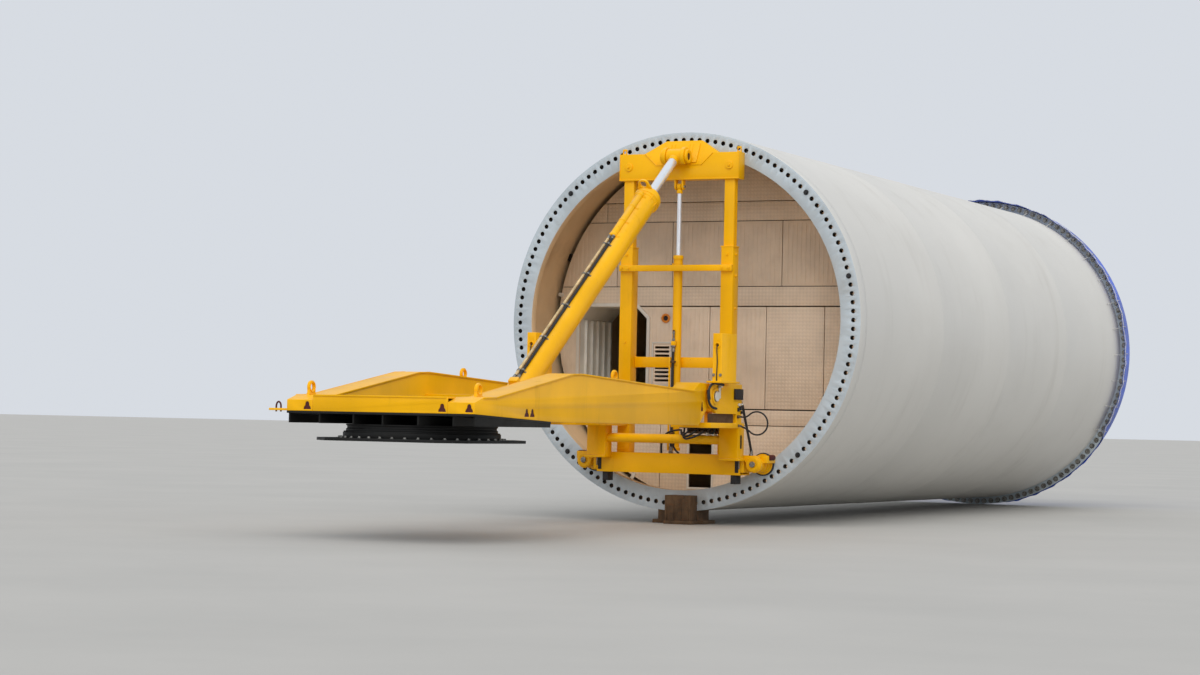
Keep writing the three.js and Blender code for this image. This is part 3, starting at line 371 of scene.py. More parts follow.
def panel_colour(f, colour):
    cloud = f.noise(1.3, 6.0, 0.6)
    scuffs = f.band(f.noise(6.0, 8.0, 0.7, (1.0, 1.0, 0.4)), 0.52, 0.8)
    plate = f.mix(f.band(cloud, 0.25, 0.75), shade(colour, 0.86), shade(colour, 1.1))
    return f.mix(scuffs * 0.18, plate, srgb("A08A6E")), scuffs


def ribbed_panel_finish(colour):
    f = Finish("ribbed_panel")
    plate, scuffs = panel_colour(f, colour)
    return f.surface(Base_Color=plate, Roughness=0.5 + scuffs * 0.2,
                     Normal=f.bump(f.noise(80.0), 0.08, 0.001))


def tread_panel_finish(colour):
    """Chequer plate: small lugs that stand across one another."""
    f = Finish("tread_panel")
    plate, scuffs = panel_colour(f, colour)
    turned = f.parts(f.place((1, 1, 1), (0, math.radians(45), 0)))
    across = (turned[0] * (TURN / 0.085)).sine()
    along = (turned[2] * (TURN / 0.085)).sine()
    lug = f.band(across * along, 0.12, 0.55)
    # The raised lugs are painted lighter, a painted highlight, and the low ground between them darker, a
    # painted shade. The bump gives the same lugs their relief.
    plate = f.mix(lug * 0.25, plate, shade(colour, 1.2))
    plate = f.mix(f.band(across * along, -0.7, -0.3, 1.0, 0.0) * 0.15, plate, shade(colour, 0.6))
    return f.surface(Base_Color=plate, Roughness=0.48 + scuffs * 0.2, Normal=f.bump(lug, 0.8, 0.004))


def pale_finish(colour):
    f = Finish("pale_frame_paint")
    cloud = f.noise(2.5, 5.0)
    paint = f.mix(f.band(cloud, 0.3, 0.7), shade(colour, 0.9), shade(colour, 1.04))
    dirt = f.band(f.noise(5.0, 7.0, 0.7, (1, 1, 0.3)), 0.55, 0.8)
    paint = f.mix(dirt * 0.3, paint, srgb("8F8470"))
    return f.surface(Base_Color=paint, Roughness=0.5 + dirt * 0.2, Normal=f.bump(f.noise(60.0), 0.06, 0.001))


def dark_finish(colour):
    f = Finish("dark_steel_paint", Specular_IOR_Level=0.25)
    cloud = f.noise(2.0, 6.0, 0.6)
    dust = f.band(f.noise(3.0, 7.0, 0.65), 0.45, 0.8)
    rust = f.band(f.noise(9.0, 8.0, 0.7), 0.6, 0.72)
    paint = f.mix(f.band(cloud, 0.3, 0.7), shade(colour, 0.8), shade(colour, 1.4))
    paint = f.mix(dust * 0.12, paint, srgb("4C463C"))
    paint = f.mix(rust * 0.3, paint, srgb("3A2212"))
    return f.surface(Base_Color=paint, Roughness=0.55 + dust * 0.25,
                     Normal=f.bump(cloud + rust * 0.3, 0.2, 0.002))


def chrome_finish():
    f = Finish("chromed_rod", Metallic=0.55)
    lines = f.noise(70.0, 2.0, 0.5, (0.4, 0.4, 8.0))
    film = f.band(f.noise(4.0, 5.0), 0.5, 0.8)
    # The near-white, slightly blue base, half metal and half diffuse, is a painted reflection of the pale
    # sky. The darker film is grime on the rod.
    colour = f.mix(film * 0.3, srgb("E9EDF2"), srgb("B9BDC4"))
    return f.surface(Base_Color=colour, Roughness=0.16 + film * 0.12 + lines * 0.05)


def pin_finish():
    f = Finish("greased_pin", Metallic=0.85)
    cloud = f.noise(14.0, 5.0, 0.6)
    steel = f.mix(f.band(cloud, 0.35, 0.65), srgb("3C2A1D"), srgb("7D6650"))
    return f.surface(Base_Color=steel, Roughness=0.35 + cloud * 0.3, Normal=f.bump(cloud, 0.2, 0.002))


def zinc_finish():
    f = Finish("zinc_bolt", Metallic=0.9)
    cloud = f.noise(30.0, 4.0, 0.6)
    steel = f.mix(f.band(cloud, 0.35, 0.65), srgb("6E6C68"), srgb("A5A39D"))
    return f.surface(Base_Color=steel, Roughness=0.35 + cloud * 0.2)


def rust_finish(colour):
    f = Finish("rusty_steel", Metallic=0.2)
    cloud = f.noise(4.0, 8.0, 0.7)
    flakes = f.noise(18.0, 6.0, 0.7)
    plate = f.mix(f.band(cloud, 0.3, 0.7), shade(colour, 0.55), shade(colour, 1.35))
    plate = f.mix(f.band(flakes, 0.5, 0.7) * 0.5, plate, srgb("7A4A24"))
    return f.surface(Base_Color=plate, Roughness=0.78 + cloud * 0.15,
                     Normal=f.bump(cloud + flakes * 0.5, 0.5, 0.005))


def cover_finish(colour):
    """Woven cover cloth: tapes across one another, with dust in its low places."""
    f = Finish("cover_cloth", Sheen_Weight=0.15, Sheen_Roughness=0.5)
    warp, _, weft = f.parts(f.place())
    weave = (warp * (TURN / 0.012)).sine() * (weft * (TURN / 0.012)).sine()
    cloud = f.noise(1.5, 6.0, 0.6)
    dust = f.band(f.noise(2.5, 8.0, 0.7), 0.5, 0.8)
    cloth = f.mix(f.band(cloud, 0.3, 0.7), shade(colour, 0.75), shade(colour, 1.2))
    cloth = f.mix(dust * 0.25, cloth, srgb("8E97A3"))
    creases = f.noise(3.0, 9.0, 0.72)
    return f.surface(Base_Color=cloth, Roughness=0.5 + dust * 0.25,
                     Normal=f.bump(weave * 0.1 + creases, 0.35, 0.02))


def rubber_finish(name, colour):
    f = Finish(name)
    cloud = f.noise(9.0, 6.0, 0.6)
    rubber = f.mix(f.band(cloud, 0.3, 0.75), shade(colour, 0.75), shade(colour, 1.5))
    return f.surface(Base_Color=rubber, Roughness=0.5 + cloud * 0.25,
                     Normal=f.bump(f.noise(200.0), 0.15, 0.0006))


def rope_finish():
    f = Finish("white_rope")
    strands = f.noise(40.0, 3.0, 0.5, (1.0, 1.0, 1.0))
    rope = f.mix(f.band(strands, 0.35, 0.65), srgb("A7A59C"), srgb("E4E2DA"))
    return f.surface(Base_Color=rope, Roughness=0.8, Normal=f.bump(strands, 0.5, 0.004))


def plain_finish(name, colour, rough=0.4, metallic=0.0):
    f = Finish(name, Metallic=metallic)
    cloud = f.noise(12.0, 5.0)
    paint = f.mix(f.band(cloud, 0.3, 0.7), shade(colour, 0.85), shade(colour, 1.12))
    return f.surface(Base_Color=paint, Roughness=rough + cloud * 0.15, Normal=f.bump(cloud, 0.1, 0.001))


FINISHES = {}


def make_finishes(colours):
    FINISHES.update({
        "shell": shell_finish(colours.shell),
        "flange": flange_finish(colours.flange),
        "inside": inside_finish(colours.inside),
        "ribbed": ribbed_panel_finish(colours.panel),
        "tread": tread_panel_finish(colours.panel),
        "pale": pale_finish(colours.pale),
        "dark": dark_finish(colours.dark),
        "yellow": yellow_finish(colours.yellow),
        "chrome": chrome_finish(),
        "pin": pin_finish(),
        "zinc": zinc_finish(),
        "rust": rust_finish(colours.rust),
        "cover": cover_finish(colours.cover),
        # Black for the hoses and other black parts, and also painted shade on hole walls, slot plates and the
        # brackets' crescents.
        "black": rubber_finish("black_hose_and_painted_shade", srgb("1C1C1E")),
        "cream": rubber_finish("cream_hose", srgb("C9AE7E")),
        "rope": rope_finish(),
        "orange": plain_finish("orange_rim", colours.orange, 0.4),
        "red": plain_finish("dark_red_oxide", srgb("4A0D08"), 0.6),
        "tag": plain_finish("orange_strip", srgb("C8641C"), 0.5),
    })


# Modelling helpers

def only(*objects):
    """Leaves just these objects selected, the first one active."""
    if bpy.context.mode != "OBJECT":
        bpy.ops.object.mode_set(mode="OBJECT")
    bpy.ops.object.select_all(action="DESELECT")
    for one in objects:
        one.select_set(True)
    bpy.context.view_layer.objects.active = objects[0] if objects else None
    return objects[0] if objects else None


@contextmanager
def editing(obj, wanted=None):
    """Edit mode on a mesh, with everything selected or only the faces that pass the test."""
    only(obj)
    mesh = obj.data
    for items in (mesh.vertices, mesh.edges, mesh.polygons):
        items.foreach_set("select", [False] * len(items))
    if wanted is not None:
        for face in mesh.polygons:
            face.select = wanted(face.center, face.normal)
    bpy.context.tool_settings.mesh_select_mode = (wanted is None, False, wanted is not None)
    bpy.ops.object.mode_set(mode="EDIT")
    if wanted is None:
        bpy.ops.mesh.select_all(action="SELECT")
    yield
    bpy.ops.object.mode_set(mode="OBJECT")


def settled(obj):
    """Puts an object's place and turn into its mesh."""
    only(obj)
    bpy.ops.object.transform_apply(location=True, rotation=True, scale=True)
    return obj


def smoothed(degrees):
    """Shades the active object smooth, apart from edges sharper than this."""
    bpy.ops.object.shade_smooth_by_angle(angle=math.radians(degrees))


def new_block(lo, hi):
    """A block between two corners of the tower's own frame."""
    lo, hi = at(*lo), at(*hi)
    only()
    bpy.ops.mesh.primitive_cube_add(size=1, location=(lo + hi) / 2, scale=hi - lo)
    return settled(bpy.context.active_object)


def side_block(side, x0, x1, y0, y1, z0, z1):
    """A block on one side, where X is the distance from the middle plane."""
    low, high = sorted((side * x0, side * x1))
    return new_block((low, y0, z0), (high, y1, z1))


def new_rod(start, end, radius, sides=48, end_radius=None):
    """A round bar, or a cone, between two points of the scene."""
    only()
    axis = end - start
    tip = radius if end_radius is None else end_radius
    bpy.ops.mesh.primitive_cone_add(
        vertices=sides, radius1=radius, radius2=tip, depth=axis.length, location=(start + end) / 2,
        rotation=axis.to_track_quat("Z", "Y").to_euler())
    return settled(bpy.context.active_object)


def new_outline(points, fill="NGON"):
    """A closed outline through points of the scene."""
    only()
    bpy.ops.mesh.primitive_circle_add(vertices=len(points), radius=1, fill_type=fill, location=(0, 0, 0))
    obj = bpy.context.active_object
    for vertex, point in zip(obj.data.vertices, points):
        vertex.co = point
    return obj


def new_plate(points, reach):
    """A plate: its outline's corners in the scene, extruded by a vector."""
    obj = new_outline(points)
    with editing(obj):
        bpy.ops.mesh.extrude_region_move(TRANSFORM_OT_translate={"value": tuple(reach)})
        bpy.ops.mesh.select_all(action="SELECT")
        bpy.ops.mesh.normals_make_consistent(inside=False)
    return obj


def new_turned(profile, centre, axis, side, steps=64, closed=True):
    """A turned shape: its profile of radius and height, spun round an axis."""
    axis, side = axis.normalized(), side.normalized()
    obj = new_outline([centre + side * r + axis * h for r, h in profile], "NOTHING")
    if not closed:
        last = len(profile) - 1
        for edge in obj.data.edges:
            edge.select = set(edge.vertices) == {0, last}
        for vertex in obj.data.vertices:
            vertex.select = vertex.index in (0, last)
        bpy.context.tool_settings.mesh_select_mode = (False, True, False)
        bpy.ops.object.mode_set(mode="EDIT")
        bpy.ops.mesh.delete(type="EDGE")
        bpy.ops.object.mode_set(mode="OBJECT")
    with editing(obj):
        bpy.ops.mesh.spin(steps=steps, angle=TURN, center=centre, axis=axis)
        bpy.ops.mesh.select_all(action="SELECT")
        bpy.ops.mesh.remove_doubles(threshold=0.0001)
        bpy.ops.mesh.normals_make_consistent(inside=False)
    return obj


def tower_ring(profile, steps):
    """A ring about the tower's axis."""
    return new_turned(profile, at(0, 0, 0), Y, Z, steps)


def joined(objects):
    """Several meshes as one."""
    objects = list(objects)
    only(*objects)
    if len(objects) > 1:
        bpy.ops.object.join()
    return settled(bpy.context.active_object)


def use(obj, kind, **settings):
    """Adds a modifier and applies it."""
    only(obj)
    modifier = obj.modifiers.new(kind.lower(), kind)
    for key, value in settings.items():
        setattr(modifier, key, value)
    bpy.ops.object.modifier_apply(modifier=modifier.name)
    return obj


def softened(obj, edge=0.006, limit=35, segments=2):
    """Rounds the sharp edges and shades the rest smooth."""
    use(obj, "BEVEL", width=edge, segments=segments, limit_method="ANGLE", angle_limit=math.radians(limit),
        use_clamp_overlap=False)
    smoothed(limit)
    return obj


def arrayed(obj, count, step=None, centre=None, axis=None):
    """Repeats a mesh along a step, or evenly round an axis."""
    if step is not None:
        return use(obj, "ARRAY", count=count, use_relative_offset=False, use_constant_offset=True,
                   constant_offset_displace=step)
    hub = bpy.data.objects.new("hub", None)
    bpy.context.scene.collection.objects.link(hub)
    turn = Matrix.Rotation(TURN / count, 4, axis)
    hub.matrix_world = Matrix.Translation(centre) @ turn @ Matrix.Translation(-centre)
    bpy.context.view_layer.update()
    use(obj, "ARRAY", count=count, use_relative_offset=False, use_object_offset=True, offset_object=hub)
    bpy.data.objects.remove(hub)
    return obj


def combined(obj, tool, operation="DIFFERENCE"):
    """Cuts, joins or crosses a mesh with a tool, which is then deleted."""
    use(obj, "BOOLEAN", operation=operation, object=tool, solver="EXACT")
    bpy.data.objects.remove(tool)
    return obj


def flowing(points, per=6):
    """Points along a smooth centripetal curve through a route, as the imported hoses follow."""
    route = [Vector(p) for p in points]
    route = [2 * route[0] - route[1], *route, 2 * route[-1] - route[-2]]
    line = []
    for i in range(1, len(route) - 2):
        a, b, c, d = route[i - 1:i + 3]
        before, here, after = [(q - p).length ** 0.5 for p, q in ((a, b), (b, c), (c, d))]
        leave = (b - a) / before - (c - a) / (before + here) + (c - b) / here
        arrive = (c - b) / here - (d - b) / (here + after) + (d - c) / after
        leave, arrive = leave * here, arrive * here
        for k in range(per):
            t = k / per
            line.append(b * (2 * t ** 3 - 3 * t ** 2 + 1) + leave * (t ** 3 - 2 * t ** 2 + t)
                        + c * (3 * t ** 2 - 2 * t ** 3) + arrive * (t ** 3 - t ** 2))
    return [*line, route[-2]]


def new_line(points, radius, fine=3):
    """A round line through points of the scene, as a curve with a closed skin."""
    curve = bpy.data.curves.new("line", "CURVE")
    curve.dimensions = "3D"
    curve.bevel_depth = radius
    curve.bevel_resolution = fine
    curve.use_fill_caps = True
    spline = curve.splines.new("POLY")
    spline.points.add(len(points) - 1)
    for slot, point in zip(spline.points, points):
        slot.co = (*point, 1)
    obj = bpy.data.objects.new("line", curve)
    bpy.context.scene.collection.objects.link(obj)
    return obj


def new_strand(points, radius, fine=2, smooth=True):
    """A round line turned into a mesh, for hoses, ropes, cables and weld beads that are held."""
    obj = new_line(flowing(points) if smooth else points, radius, fine)
    only(obj)
    bpy.ops.object.convert(target="MESH")
    obj = bpy.context.active_object
    smoothed(50)
    return obj


def new_bolt(width=0.036):
    """A hexagon head on a washer, standing at the scene's zero."""
    washer = new_rod(Vector((0, 0, 0)), Vector((0, 0, width * 0.14)), width * 0.95, 16)
    head = new_rod(Vector((0, 0, width * 0.14)), Vector((0, 0, width * 0.75)), width * 0.577, 6)
    return joined([washer, head])


def new_bolts(places, width=0.036):
    """Bolts at places, each a point of the scene and the way that its head looks."""
    first = new_bolt(width)
    copies = []
    for point, way in places:
        copy = first.copy()
        copy.data = first.data.copy()
        bpy.context.scene.collection.objects.link(copy)
        copy.matrix_world = Matrix.Translation(point) @ way.to_track_quat("Z", "Y").to_matrix().to_4x4()
        copies.append(copy)
    bpy.data.objects.remove(first)
    bpy.context.view_layer.update()
    return joined(copies)


def done(obj, name, body, finish, *nodes):
    """Names a finished piece, paints it, ties it to its body and hides the nodes that it stands for."""
    obj.name = name
    obj.data.name = name
    if finish is not None:
        faces = obj.data.polygons if obj.type == "MESH" else []
        kept = [face.material_index for face in faces]
        obj.data.materials.clear()
        finishes = [finish] if isinstance(finish, str) else finish
        for one in finishes:
            obj.data.materials.append(FINISHES[one])
        for face, index in zip(faces, kept):
            face.material_index = min(index, len(finishes) - 1)
    if nodes:
        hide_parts(*nodes)
    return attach(obj, body)


def paint_faces(obj, index, wanted):
    """Gives one of the object's materials to the faces that pass the test."""
    for face in obj.data.polygons:
        if wanted(face.center, face.normal):
            face.material_index = index


def copied(node):
    """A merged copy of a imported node, with its flat faces whole."""
    only(frame["nodes"][node])
    bpy.ops.object.duplicate()
    copy = bpy.context.active_object
    bpy.ops.object.parent_clear(type="CLEAR")
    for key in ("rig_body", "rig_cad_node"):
        del copy[key]
    with editing(copy):
        bpy.ops.mesh.customdata_custom_splitnormals_clear()
        bpy.ops.mesh.remove_doubles(threshold=0.0002)
        bpy.ops.mesh.dissolve_limited(angle_limit=math.radians(0.6))
        bpy.ops.mesh.normals_make_consistent(inside=False)
    return copy


def dressed(node, name, body, finish, edge):
    """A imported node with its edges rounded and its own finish."""
    return done(softened(copied(node), edge), name, body, finish, node)


def steelwork(finish, edge, *nodes):
    """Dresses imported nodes, each on its own body."""
    return [dressed(node, f"{node}_steelwork", frame["nodes"][node]["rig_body"], finish, edge)
            for node in nodes]


def mirrored(obj):
    """The left hand copy of a right hand piece, with its faces still outward."""
    only(obj)
    bpy.ops.object.duplicate()
    copy = bpy.context.active_object
    copy.scale.x = -1
    settled(copy)
    with editing(copy):
        bpy.ops.mesh.normals_make_consistent(inside=False)
    return copy


def half_turn(steps):
    """Angles from zero to half a turn."""
    return [math.pi * i / steps for i in range(steps + 1)]


def shell_radius(y):
    """The shell's outside radius at a distance from the near flange's face."""
    return 3.05 + 0.05 * y / TOWER_LENGTH


def hole_angle(index, count):
    """Where a hole of a flange's bolt circle is, from the top and toward +X."""
    return (index + 0.5) / count * TURN + HOLE_TURN


def ring_places(radius, y, count, way):
    """Places on a flange's bolt circle, for bolts that look along a way."""
    places = []
    for i in range(count):
        places.append((round_axis(radius, y, hole_angle(i, count)), way))
    return places


def drilled(ring, radius, y0, y1, sizes):
    """Cuts the bolt circle through a flange."""
    place = [round_axis(radius, y, hole_angle(0, sizes.bolt_holes)) for y in (y0, y1)]
    drill = new_rod(*place, sizes.hole_radius, 20)
    arrayed(drill, sizes.bolt_holes, centre=at(0, 0, 0), axis=Y)
    return combined(ring, drill)


def along_luff(x, out, along):
    """A point beside the luffing cylinder: across it, out from its axis, and along it from its foot."""
    return at(*(LUFF_FOOT + X * x + LUFF_OUT * out + LUFF_AXIS * along))


CAMERA_PLACE = (16.98, -41.45, 1.64)
CAMERA_TURNS = (25.74, 1.81, 1.2)  # yaw, pitch and roll, in degrees
CAMERA_LENS = 78


def soft_sun(name, energy, spread, colour, way):
    """A sun lamp with wide shadows, which stands in the way given."""
    lamp = bpy.data.lights.new(name, "SUN")
    lamp.energy = energy
    lamp.angle = math.radians(spread)
    lamp.color = colour
    sun = bpy.data.objects.new(name, lamp)
    sun.rotation_euler = Vector(way).to_track_quat("Z", "Y").to_euler()
    bpy.context.scene.collection.objects.link(sun)


class TOWER_OT_stage(bpy.types.Operator):
    """Makes the finishes, the floor, the soft light and the camera"""
    bl_idname = "tower.stage"
    bl_label = "Stage"

    def execute(self, context):
        make_finishes(context.scene.tower_colours)
        yaw, pitch, roll = (math.radians(a) for a in CAMERA_TURNS)
        ahead = Vector((-math.sin(yaw) * math.cos(pitch), math.cos(yaw) * math.cos(pitch), math.sin(pitch)))
        level = ahead.cross(Z).normalized()
        upright = level.cross(ahead)
        right = level * math.cos(roll) + upright * math.sin(roll)
        up = upright * math.cos(roll) - level * math.sin(roll)
        data = bpy.data.cameras.new("camera")
        data.lens = CAMERA_LENS
        data.sensor_width = 36
        data.clip_start, data.clip_end = 0.5, 2000
        camera = bpy.data.objects.new("camera", data)
        camera.matrix_world = (Matrix.Translation(CAMERA_PLACE)
                               @ Matrix((right, up, -ahead)).transposed().to_4x4())
        context.scene.collection.objects.link(camera)
        context.scene.camera = camera

        world = bpy.data.worlds.new("soft_sky")
        world.use_nodes = True
        background = world.node_tree.nodes["Background"]
        background.inputs["Color"].default_value = (0.80, 0.84, 0.90, 1)
        background.inputs["Strength"].default_value = 0.85
        context.scene.world = world
        context.scene.view_settings.view_transform = "Standard"
        soft_sun("overcast_sun", 1.35, 50, (1.0, 0.98, 0.95), (0.35, -0.7, 1.0))
        soft_sun("open_sky_fill", 0.45, 80, (1.0, 1.0, 1.0), (0.3, -1.0, 0.12))

        only()
        bpy.ops.mesh.primitive_plane_add(size=900, location=(0, 0, 0))
        floor = bpy.context.active_object
        floor.name = "floor"
        f = Finish("pale_floor")
        cloud = f.noise(0.25, 6.0, 0.6)
        floor.data.materials.append(f.surface(
            Base_Color=f.mix(cloud, srgb("A9A7A2"), srgb("BEBBB5")), Roughness=0.75 + cloud * 0.1))
        return {"FINISHED"}


def hose_end(start, toward, radius):
    """A crimped sleeve with its hexagon nut."""
    way = (toward - start).normalized()
    nut = new_rod(start, start + way * radius * 1.3, radius * 1.7, 6)
    neck = new_rod(start, start + way * radius * 1.9, radius * 1.1, 20)
    sleeve = new_rod(start + way * radius * 1.7, start + way * radius * 4.4, radius * 1.3, 24)
    return softened(joined([nut, neck, sleeve]), radius * 0.12)


def free_hose(name, route, radius, node):
    """A hydraulic hose that hangs free between two fittings."""
    line = flowing([at(*p) for p in route], 5)
    hose = done(new_line(line, radius, 5), name, "tower", "black", node)
    ends = [
        done(hose_end(line[0], line[5], radius), f"{name}_near_end", "tower", "zinc"),
        done(hose_end(line[-1], line[-6], radius), f"{name}_far_end", "tower", "zinc"),
    ]
    length = sum((b - a).length for a, b in zip(line, line[1:]))


class TOWER_OT_hoses(bpy.types.Operator):
    """Makes the hydraulic hoses that hang free, and the one held beside the lift cylinder"""
    bl_idname = "tower.hoses"
    bl_label = "Hoses"

    def execute(self, context):
        free_hose("jaw_hose", CLAMP_HOSE, 0.02, "clamp_hose")
        free_hose("standing_hose", loop_route(), 0.013, "loop_hose")
        line = flowing([at(*p) for p in LIFT_HOSE], 5)
        hose = new_strand(line, 0.024, 5, smooth=False)
        done(hose, "lift_cylinder_hose", "tower", "black", "lift_hose")
        ends = [hose_end(line[0], line[5], 0.024), hose_end(line[-1], line[-6], 0.024)]
        done(joined(ends), "lift_cylinder_hose_ends", "tower", "zinc")
        clips = []
        for z in (-0.66, -1.25, -1.8):
            clips.append(new_block((-0.04, -0.336, z - 0.018), (0.028, -0.24, z + 0.018)))
        done(softened(joined(clips), 0.004), "lift_hose_clips", "tower", "pin")
        return {"FINISHED"}


class TOWER_OT_shell(bpy.types.Operator):
    """Rolls the shell plates, with a ring weld where they meet"""
    bl_idname = "tower.shell"
    bl_label = "Shell plates"

    def execute(self, context):
        sizes = context.scene.tower_sizes
        count = 4
        length = (FAR_NECK - NECK_END) / count
        for i in range(count):
            y0 = NECK_END + i * length + 0.0003
            y1 = NECK_END + (i + 1) * length
            r0, r1 = shell_radius(y0), shell_radius(y1)
            high = sizes.weld_height
            profile = [
                (r0, y0), (r1, y1 - 0.028), (r1 + high, y1 - 0.02), (r1 + high, y1 - 0.006), (r1, y1),
                (r1 - SHELL_WALL, y1), (r0 - SHELL_WALL, y0),
            ]
            plate = tower_ring(profile, sizes.segments)
            smoothed(40)
            centre = at(0, 0, 0)
            paint_faces(plate, 1, lambda c, n: (Vector((c.x, 0, c.z - centre.z)).dot(n) < -0.5))
            done(plate, f"shell_plate_{i + 1}", "tower", ["shell", "inside"], f"shell_can_{i + 1}")
        return {"FINISHED"}


class TOWER_OT_near_flange(bpy.types.Operator):
    """Turns and drills the near flange, with the few guide bolts left in it"""
    bl_idname = "tower.near_flange"
    bl_label = "Near flange"

    def execute(self, context):
        sizes = context.scene.tower_sizes
        outer = shell_radius(NECK_END)
        ring = tower_ring([
            (NEAR_BORE, 0), (3.05, 0), (outer, NECK_END), (outer - SHELL_WALL, NECK_END),
            (2.99, 0.18), (2.96, 0.15), (NEAR_BORE, 0.15),
        ], sizes.segments)
        drilled(ring, NEAR_BOLT_R, -0.05, 0.2, sizes)
        softened(ring, 0.004, 40)
        centre = at(0, 0, 0)

        def side(c, n):
            return Vector((c.x, 0, c.z - centre.z)).normalized().dot(n)

        paint_faces(ring, 1, lambda c, n: side(c, n) > 0.9 and (c - centre).xz.length > 3.04)
        paint_faces(ring, 2, lambda c, n: side(c, n) < -0.5 and c.y - FACE > 0.16)
        paint_faces(ring, 2, lambda c, n: side(c, n) < -0.9 and (c - centre).xz.length < 2.72)
        # The bolt holes' walls take the black finish: a painted shade for the dark inside of each hole.
        paint_faces(ring, 3, lambda c, n: (
            abs(n.y) < 0.3 and abs((c - centre).xz.length - NEAR_BOLT_R) < 0.038))
        done(ring, "near_flange_ring", "tower", ["flange", "shell", "inside", "black"], "near_flange")
        places = []
        for clock in (45, 75, 137, 223, 315):
            nearest = round((math.radians(clock) - HOLE_TURN) / TURN * sizes.bolt_holes - 0.5)
            places.append((round_axis(NEAR_BOLT_R, 0, hole_angle(nearest, sizes.bolt_holes)), -Y))
        done(new_bolts(places, 0.045), "guide_bolts", "tower", "black")
        return {"FINISHED"}


class TOWER_OT_far_flange(bpy.types.Operator):
    """Turns and drills the far flange, with its nuts"""
    bl_idname = "tower.far_flange"
    bl_label = "Far flange"

    def execute(self, context):
        sizes = context.scene.tower_sizes
        neck, face = shell_radius(FAR_NECK), shell_radius(FAR_FACE)
        ring = tower_ring([
            (neck, FAR_NECK + 0.0003), (face, FAR_FACE), (FAR_RIM, FAR_FACE), (FAR_RIM, TOWER_LENGTH),
            (FAR_BORE, TOWER_LENGTH), (FAR_BORE, FAR_FACE), (face - SHELL_WALL, FAR_FACE),
            (neck - SHELL_WALL, FAR_NECK + 0.0003),
        ], sizes.segments)
        drilled(ring, FAR_BOLT_R, FAR_FACE - 0.05, TOWER_LENGTH + 0.05, sizes)
        softened(ring, 0.004, 40)
        centre = at(0, 0, 0)
        paint_faces(ring, 1, lambda c, n: (c - centre).xz.length < 3.11 and c.y - FACE < FAR_FACE - 0.002
                    and Vector((c.x, 0, c.z - centre.z)).dot(n) > 0.5)
        done(ring, "far_flange_ring", "tower", ["flange", "shell"], "far_flange")
        nuts = new_bolts(ring_places(FAR_BOLT_R, FAR_FACE, sizes.bolt_holes, -Y), 0.058)
        done(nuts, "far_flange_nuts", "tower", "zinc")
        return {"FINISHED"}


COVER_BACK = TOWER_LENGTH + 0.006
COVER_R = 3.258
COVER_LOW = 3.185
COVER_SKIRT = 0.42


def skirt_length(angle):
    """How far the skirt reaches over the rim, at an angle from the top."""
    away = abs(math.remainder(angle, TURN))
    fall = min(1, max(0, (math.radians(126) - away) / math.radians(8)))
    waver = 0.018 * math.sin(9 * angle + 0.7) + 0.012 * math.sin(23 * angle)
    return 0.015 + (COVER_SKIRT - 0.015 + waver) * fall * fall * (3 - 2 * fall)


def cover_edge(angle):
    """The cover's reach from the axis, flattened where it ends above the ground."""
    return min(COVER_R, COVER_LOW / max(1e-6, -math.cos(angle)))


def cover_point(angle, along):
    """A point of the cover: across the end first, then over the rim and down its skirt."""
    edge = cover_edge(angle)
    if along <= 1:
        r = along * edge
        open_share = max(0, 1 - (r / FAR_BORE) ** 2)
        pull = math.sin(22 * angle + 2 * math.sin(3 * angle)) * (r / edge) ** 3
        ease = math.sin(5 * angle + 1) * math.sin(math.pi * r / edge)
        sag = -0.11 * open_share * (1 - 0.25 * math.cos(angle)) + 0.012 * ease * open_share
        y = COVER_BACK + sag + 0.006 * (1 + pull) * min(1, r / edge * 1.4)
        return round_axis(r, y, angle)
    down = along - 1
    length = skirt_length(angle)
    fold = (math.sin(44 * angle + 1.5 * math.sin(7 * angle)) + 0.5 * math.sin(97 * angle)) * 0.009 * down
    y = COVER_BACK + 0.007 - length * down
    r = edge + 0.004 + 0.010 * down + fold
    return round_axis(r, y, angle)


